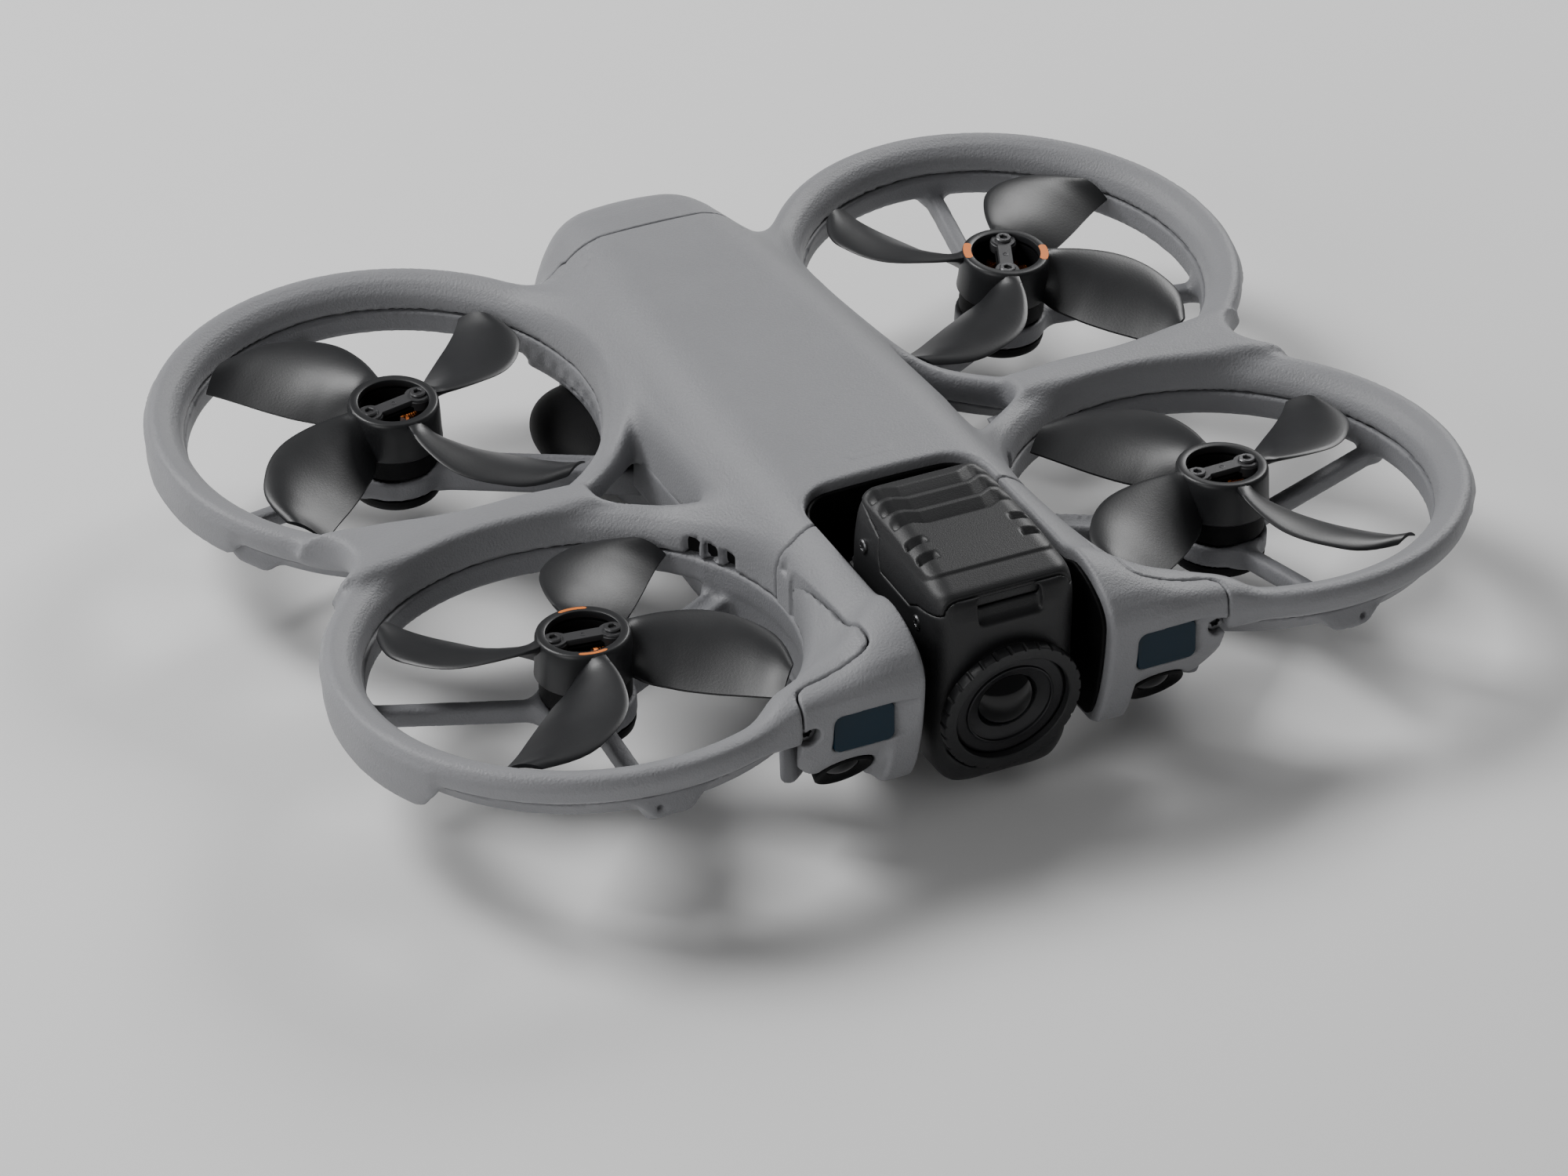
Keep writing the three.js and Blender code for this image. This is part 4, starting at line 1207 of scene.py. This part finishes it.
def eye(side):
    """The downward sensor's lens: a black disc with a rim and a small dome."""
    tip = math.radians(EYE_TIP)
    place = np.array((side * EYE[0], EYE[1] - 0.15 * math.cos(tip), EYE[2] - 0.15 * math.sin(tip)))
    rim = turned([(3.4, -1.6), (EYE[3], -1.6), (EYE[3], -0.1), (EYE[3] - 0.25, 0.15), (EYE[3] - 0.6, 0.2),
                  (EYE[3] - 1.3, -0.2), (3.4, -0.7)], 72, closed=True)
    glass = turned(dome(3.6, 1.0, -0.9, 8), 64)
    turn = tipped_down(EYE_TIP)
    return rim.moved(turn, place), glass.moved(turn, place)


def window_pane(side):
    pane = pad(WINDOW[2], WINDOW[3], 1.7, -1.2, 0.0, 0.22)
    lean = Matrix.Rotation(math.radians(-4), 3, "X")
    return pane.moved(np.array(lean) @ facing_y(-1), (side * WINDOW[0], WINDOW_FACE_Y, WINDOW[1]))


def prong_screw(side):
    head = capped_screw(PRONG_SCREW[2], -1.2, 0.0, 0.95, 0, 0.16)
    return head.moved(facing_y(-1), (side * PRONG_SCREW[0], -93.4, PRONG_SCREW[1]))


# ---- battery, latches, button and lid ----
def latch(side):
    low_y, high_y, low_z, high_z = LATCH
    key = pad((high_y - low_y) / 2, (high_z - low_z) / 2, 1.0, -3.0, 0.0, 0.35)
    place = (side * 25.0, (low_y + high_y) / 2, (low_z + high_z) / 2)
    return key.moved(facing_x(side), place)


def power_key():
    """The round button with its ring."""
    profile = [(1.0, -2.4), (3.9, -2.4), (3.9, -0.3), (3.6, 0.0), (2.6, 0.0), (2.3, -0.2), (0.0, -0.25)]
    key = turned(profile, 64)
    return key.moved(facing_y(1), (0, POWER[0], POWER[1]))


def light_pips():
    out = Shape()
    for i in range(4):
        pip = turned(dome(0.45, 0.15, 0, 4), 20)
        out.merge(pip.moved(facing_y(1), (-11 + 1.9 * i, POWER[0] - 0.5, POWER[1])))
    return finish_piece("light_pips", out)


def node_box(node):
    """A CAD node's low and high corners in millimetres about the hub tops."""
    return [np.array(v) / MM - (0, 0, HUB_LIFT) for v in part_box(node)]


def box_pad(node, axis, way, r, bevel=0.3):
    """A rounded flat piece that fills a CAD node's box, its flat face looking along an axis."""
    low, high = node_box(node)
    turn = {"x": facing_x(way), "y": facing_y(way), "z": np.diag([1, way, way])}[axis]
    half = np.abs(turn.T @ (high - low)) / 2
    return pad(half[0], half[1], r, -half[2], half[2], bevel).moved(turn, (low + high) / 2)


def vent_inserts(corner):
    """Black backs for a front duct's vent slots."""
    out = Shape()
    for i in range(VENTS[2]):
        angle = math.radians(VENTS[0] + (VENTS[1] - VENTS[0]) * i / (VENTS[2] - 1))
        away = np.array([corner.sx * math.cos(angle), -corner.sy * math.sin(angle), 0])
        up = np.array([0, 0, 1.0])
        turn = corner.turn @ np.array([np.cross(up, -away), up, -away]).T
        middle = corner.turn @ (away * (VENT_R + 0.3) + up * sum(VENT_Z) / 2)
        out.merge(pad(VENT_HALF + 0.2, 1.9, 0.5, -0.5, 0.5, 0.15).moved(turn, corner.centre + middle))
    return out


def battery_core():
    """The battery's black body inside the hull, with a step and two strap grooves."""
    low_y, high_y = 12.2, 87.0
    block = pad(17.4, (high_y - low_y) / 2, 2.5, -28.6, 4.6, 0.9)
    for y in (-28.0, -20.0):
        block.merge(pad(15.0, 1.4, 0.6, 4.4, 4.85, 0.2).moved(np.eye(3), (0, y, 0)))
    return block.moved(np.eye(3), (0, (low_y + high_y) / 2, 0))


def belly_pad(side):
    word = "left" if side < 0 else "right"
    whole = box_pad(word + "_belly_pad", "z", -1, 2.2, 0.35)
    low, high = node_box(word + "_belly_pad")
    for y in np.arange(low[1] + 5, high[1] - 3, 4.0):
        rib = pad(1.7, 0.45, 0.4, -0.3, 0.25, 0.12)
        whole.merge(rib.moved(np.diag([1, -1, -1]), ((low[0] + high[0]) / 2, y, low[2] + 0.25)))
    return whole


def port_lid():
    whole = box_pad("port_cover", "x", -1, 1.6, 0.35)
    low, high = node_box("port_cover")
    grip = pad(4.2, 0.6, 0.5, -0.4, 0.2, 0.15)
    return whole.merge(grip.moved(facing_x(-1), (low[0] + 0.25, 0, high[2] - 1.6)))


def tilt_drive(node, way):
    """The flat motor or bearing at one end of the pod's pivot."""
    low, high = node_box(node)
    r = (high[1] - low[1]) / 2
    thick = high[0] - low[0]
    body = turned([(r - 0.2, 0.0), (r, 0.2), (r, thick * 0.7), (r - 0.5, thick), (r * 0.55, thick),
                   (r * 0.5, thick - 0.3), (1.5, thick - 0.3), (1.3, thick - 0.05), (0.0, thick - 0.05)], 64)
    return body.moved(facing_x(way), ((low[0] if way > 0 else high[0]), PIVOT[1], PIVOT[2]))


# ---- finishes ----
def node_link(tree, kind, **sockets):
    """Adds a node; a value that is an output socket is linked, any other is set."""
    node = tree.nodes.new(kind)
    for name, value in sockets.items():
        socket = node.inputs[name.replace("_", " ")]
        if isinstance(value, bpy.types.NodeSocket):
            tree.links.new(value, socket)
        else:
            socket.default_value = value
    return node


def shade(colour, gain):
    return (*[min(c * gain, 1.0) for c in colour[:3]], 1.0)


def mixed(tree, factor, first, second):
    """The output of a colour mix; first may be a colour or another mix's output."""
    mix = tree.nodes.new("ShaderNodeMix")
    mix.data_type = "RGBA"
    tree.links.new(factor, mix.inputs["Factor"])
    ends = [i for i in mix.inputs if i.type == "RGBA"]
    for end, value in zip(ends, (first, second)):
        if isinstance(value, bpy.types.NodeSocket):
            tree.links.new(value, end)
        else:
            end.default_value = value
    return next(o for o in mix.outputs if o.type == "RGBA")


WEAR_FROM = 0.62
WEAR_FULL = 0.80
GLOSS_SPREAD = 0.07
BUMP_DEPTH_M = 0.0003


def finish(name, colour, rough, grain=0.45, relief=0.1, uneven=0.05, wear=0.12, metal=0.0, specular=0.5,
           wires=0.0):
    """A grained material. grain is the size of the grain in millimetres and relief its bump's strength."""
    made = bpy.data.materials.new(name)
    made.use_nodes = True
    tree = made.node_tree
    tree.nodes.clear()
    place = tree.nodes.new("ShaderNodeTexCoord").outputs["Object"]
    fine = node_link(tree, "ShaderNodeTexNoise", Vector=place, Scale=1 / (grain * MM), Detail=3.0,
                     Roughness=0.6)
    broad = node_link(tree, "ShaderNodeTexNoise", Vector=place, Scale=70.0, Detail=4.0, Roughness=0.55)
    marks = node_link(tree, "ShaderNodeTexNoise", Vector=place, Scale=420.0, Detail=6.0, Roughness=0.7)
    rub = node_link(tree, "ShaderNodeMapRange", Value=marks.outputs["Fac"])
    rub.inputs["From Min"].default_value = WEAR_FROM
    rub.inputs["From Max"].default_value = WEAR_FULL
    rub.inputs["To Max"].default_value = wear
    tone = mixed(tree, broad.outputs["Fac"], shade(colour, 1 - uneven), shade(colour, 1 + uneven))
    worn = mixed(tree, rub.outputs["Result"], tone, shade(colour, 1.35))
    gloss = node_link(tree, "ShaderNodeMapRange", Value=broad.outputs["Fac"])
    gloss.inputs["To Min"].default_value = max(rough - GLOSS_SPREAD, 0.02)
    gloss.inputs["To Max"].default_value = min(rough + GLOSS_SPREAD, 1.0)
    height = fine.outputs["Fac"]
    if wires:
        bands = node_link(tree, "ShaderNodeTexWave", Vector=place, Scale=1 / (wires * MM), Distortion=0.4)
        bands.bands_direction = "Z"
        height = bands.outputs["Fac"]
    bump = node_link(tree, "ShaderNodeBump", Height=height, Strength=relief, Distance=BUMP_DEPTH_M)
    face = node_link(tree, "ShaderNodeBsdfPrincipled", Roughness=gloss.outputs["Result"],
                     Normal=bump.outputs["Normal"], Metallic=metal)
    face.inputs["Specular IOR Level"].default_value = specular
    tree.links.new(worn, face.inputs["Base Color"])
    out = tree.nodes.new("ShaderNodeOutputMaterial")
    tree.links.new(face.outputs["BSDF"], out.inputs["Surface"])
    return made


FINISH = {name: finish(name, colour, rough, **more) for name, colour, rough, more in (
    ("grey_shell", (0.238, 0.240, 0.252), 0.50, dict(grain=0.55, relief=0.55, uneven=0.04)),
    # The frame's grey is the shell's grey made darker: painted shade, matching the frame's spokes where they
    # lie in shade.
    ("grey_frame", (0.185, 0.187, 0.198), 0.52, dict(grain=0.5, relief=0.5, uneven=0.05)),
    ("pod_charcoal", (0.017, 0.0173, 0.0185), 0.46, dict(grain=0.3, relief=0.16, uneven=0.06, specular=0.4)),
    ("black_plastic", (0.003, 0.003, 0.0035), 0.6, dict(grain=0.35, relief=0.18, specular=0.14)),
    ("blade_black", (0.013, 0.0135, 0.015), 0.42, dict(grain=0.5, relief=0.07, uneven=0.08)),
    ("ring_black", (0.02, 0.02, 0.022), 0.4, dict(grain=0.25, relief=0.12, metal=0.3)),
    ("dark_steel", (0.14, 0.14, 0.145), 0.34, dict(grain=0.2, relief=0.12, metal=0.85)),
    ("copper_winding", (0.45, 0.13, 0.03), 0.3, dict(relief=0.8, metal=0.9, wires=0.6)),
    ("lens_glass", (0.0015, 0.0017, 0.0022), 0.06,
     dict(grain=3.0, relief=0.005, uneven=0.2, wear=0.02, specular=0.35)),
    ("window_blue", (0.0015, 0.018, 0.034), 0.2,
     dict(grain=2.0, relief=0.01, uneven=0.2, wear=0.03, specular=0.2)),
    ("soft_rubber", (0.01, 0.01, 0.011), 0.75, dict(grain=0.3, relief=0.3)),
    ("board_green", (0.02, 0.09, 0.04), 0.4, dict(grain=0.6, relief=0.1)),
)}
ORANGE = finish("orange_paint", (0.78, 0.21, 0.035), 0.45, grain=0.3, relief=0.06, uneven=0.05)
BAR_GREY = finish("bar_grey", (0.06, 0.06, 0.063), 0.42, grain=0.25, relief=0.12, metal=0.3)
PALE_PIP = finish("pale_pip", (0.5, 0.52, 0.5), 0.3, grain=0.3, relief=0.05)


def place(piece, body_name, slot_name, *nodes, look=None):
    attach(piece, body_name)
    if nodes:
        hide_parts(*nodes)
    piece.data.materials.clear()
    piece.data.materials.append(look or FINISH[slot_name])
    return piece


def place_shape(name, shape, body_name, slot_name, *nodes):
    return place(finish_piece(name, shape), body_name, slot_name, *nodes)


# ---- the pieces ----
FINE = 0.6
corner_nodes = {word: [c.tag + "_" + word for c in CORNERS] for word in ("guard_ring", "duct_frame")}

place(carve("shell_skin", shell, (-125, -101, -14), (125, 101, 15), 0.85),
      "airframe", "grey_shell", "top_shell", *corner_nodes["guard_ring"])
# The lower frame and belly take the darker frame grey, which paints shade on them.
place(carve("lower_frame", lower_frame, (-122, -100, -23), (122, 100, -4), 0.85),
      "airframe", "grey_frame", *corner_nodes["duct_frame"])
place(carve("belly_skin", belly, (-30, -38, -36), (30, 80, -6), FINE),
      "airframe", "grey_frame", "belly_shell")
# The black sheet in the bay is painted shade.
place(carve("bay_shade_sheet", bay_shade_sheet, (-24, -98, -25), (24, -26, 12), 0.45),
      "airframe", "black_plastic")
place(carve("tail_skin", tail, (-38, 74, -18), (38, 101, 12), FINE),
      "battery_pack", "grey_shell")
place_shape("battery_core", battery_core(), "battery_pack", "black_plastic", "battery")
place(carve("vent_fairing", vent_fairing, (-41, 26, -30), (41, 68, -13), FINE),
      "airframe", "black_plastic")

for word, side in (("left", -1), ("right", 1)):
    low_x, high_x = sorted((side * 19, side * 50))
    place(carve(word + "_prong_skin", prong_cover(side), (low_x, -98, -26), (high_x, -44, 13), 0.5),
          "airframe", "grey_shell", word + "_prong_cover")
    place_shape(word + "_window", window_pane(side), "airframe", "window_blue", word + "_ranging_window")
    rim, glass = eye(side)
    place_shape(word + "_eye_rim", rim, "airframe", "black_plastic", word + "_vision_lens")
    place_shape(word + "_eye_glass", glass, "airframe", "lens_glass")
    place_shape(word + "_torx_screw", prong_screw(side), "airframe", "dark_steel", word + "_prong_screw")
    latch_name = word + "_battery_latch"
    place_shape(word + "_latch_key", latch(side), latch_name, "black_plastic", latch_name)
    place_shape(word + "_pad", belly_pad(side), "airframe", "soft_rubber", word + "_belly_pad")
    place_shape(word + "_side_cap", side_cap(side), "camera_pod", "black_plastic", word + "_pivot_cap")

for corner in CORNERS:
    rotor = corner.tag + "_rotor"
    place(propeller(corner), rotor, "blade_black", corner.tag + "_propeller")
    place(hub_bar(corner), rotor, "blade_black", look=BAR_GREY)
    place(bell(corner), rotor, "black_plastic", corner.tag + "_motor_bell")
    place(hub_screws(corner), rotor, "dark_steel", *[corner.tag + "_propeller_screw_" + k for k in "ab"])
    if corner.sy < 0:
        place_shape(corner.tag + "_vent_backs", vent_inserts(corner), "airframe", "black_plastic")
    if corner.tag in ARC_WIDTHS:
        place(hub_arcs(corner), rotor, "blade_black", look=ORANGE)
    coils, core = stator(corner)
    place(coils, "airframe", "copper_winding")
    place(core, "airframe", "dark_steel", corner.tag + "_stator")
    place(motor_base(corner), "airframe", "black_plastic")

place(carve("hood_skin", pod_hood, (-18.5, -94, 3.5), (18.5, -47.5, 20.5), 0.33),
      "camera_pod", "pod_charcoal", "pod_hood")
place(carve("housing_skin", pod_housing, (-18.5, -94, -31.5), (18.5, -47.5, 18.5), 0.42),
      "camera_pod", "pod_charcoal", "pod_housing")
place(pod_screws(), "camera_pod", "dark_steel")
for word, way in LENSES:
    place_shape(word + "_knurled_ring", lens_ring(way), "camera_pod", "pod_charcoal", word + "_lens_ring")
    place_shape(word + "_funnel", lens_funnel(way), "camera_pod", "ring_black")
    place_shape(word + "_dome", lens_dome(way), "camera_pod", "lens_glass", word + "_lens")

place_shape("tilt_motor_can", tilt_drive("tilt_motor", -1), "airframe", "dark_steel", "tilt_motor")
place_shape("tilt_bearing_ring", tilt_drive("tilt_bearing", 1), "airframe", "black_plastic", "tilt_bearing")
place_shape("power_key", power_key(), "power_button", "black_plastic", "power_button")
place(light_pips(), "battery_pack", "black_plastic", look=PALE_PIP)
place_shape("port_lid", port_lid(), "port_cover", "black_plastic", "port_cover")
place_shape("downward_pane", box_pad("downward_sensor_window", "z", -1, 2.6, 0.3), "airframe", "window_blue",
            "downward_sensor_window")

NODE_FINISHES = {"main_board": "board_green", "heat_sink": "dark_steel", "data_port": "dark_steel"}
for name, node in frame["nodes"].items():
    node.data.materials.clear()
    node.data.materials.append(FINISH[NODE_FINISHES.get(name, "black_plastic")])

# ---- studio ----
CAMERA_AIM = Vector((-0.0256, -0.0432, 0.030))
CAMERA_DISTANCE = 1.2268
CAMERA_AZIMUTH = math.atan2(-0.74320, -0.36652)
CAMERA_ELEVATION = math.radians(34.04)
CAMERA_ROLL = math.radians(0.745)
LENS_MM = 140.4
WORLD_LIGHT = 0.13
FLOOR_SIZE_M = 6

outward = Vector((math.cos(CAMERA_AZIMUTH) * math.cos(CAMERA_ELEVATION),
                  math.sin(CAMERA_AZIMUTH) * math.cos(CAMERA_ELEVATION), math.sin(CAMERA_ELEVATION)))
lens = bpy.data.cameras.new("camera")
lens.lens = LENS_MM
lens.clip_end = 50
camera = linked("camera", lens)
facing = outward.to_track_quat("Z", "Y").to_matrix() @ Matrix.Rotation(CAMERA_ROLL, 3, "Z")
camera.matrix_world = Matrix.Translation(CAMERA_AIM + outward * CAMERA_DISTANCE) @ facing.to_4x4()
bpy.context.scene.camera = camera

world = bpy.data.worlds.new("studio")
bpy.context.scene.world = world
world.use_nodes = True
world.node_tree.nodes["Background"].inputs["Color"].default_value = (1, 1, 1, 1)
world.node_tree.nodes["Background"].inputs["Strength"].default_value = WORLD_LIGHT

LAMPS = (  # where, size in metres, watts
    ((-0.7, 0.7, 1.1), 0.6, 20), ((1.0, 0.7, 0.8), 0.5, 11), ((-1.1, -0.5, 0.6), 0.5, 4),
)
for spot, size, power in LAMPS:
    light = bpy.data.lights.new("softbox", "AREA")
    light.size = size
    light.energy = power
    lamp = linked("softbox", light)
    lamp.location = spot
    lamp.rotation_euler = (Vector((0, 0, 0.03)) - Vector(spot)).to_track_quat("-Z", "Y").to_euler()

bpy.ops.mesh.primitive_plane_add(size=FLOOR_SIZE_M)
floor = bpy.context.object
floor.name = "floor"
paper = finish("floor_paper", (0.80, 0.80, 0.80), 0.8, grain=2.0, relief=0.02, uneven=0.01, wear=0.0)
floor.data.materials.append(paper)
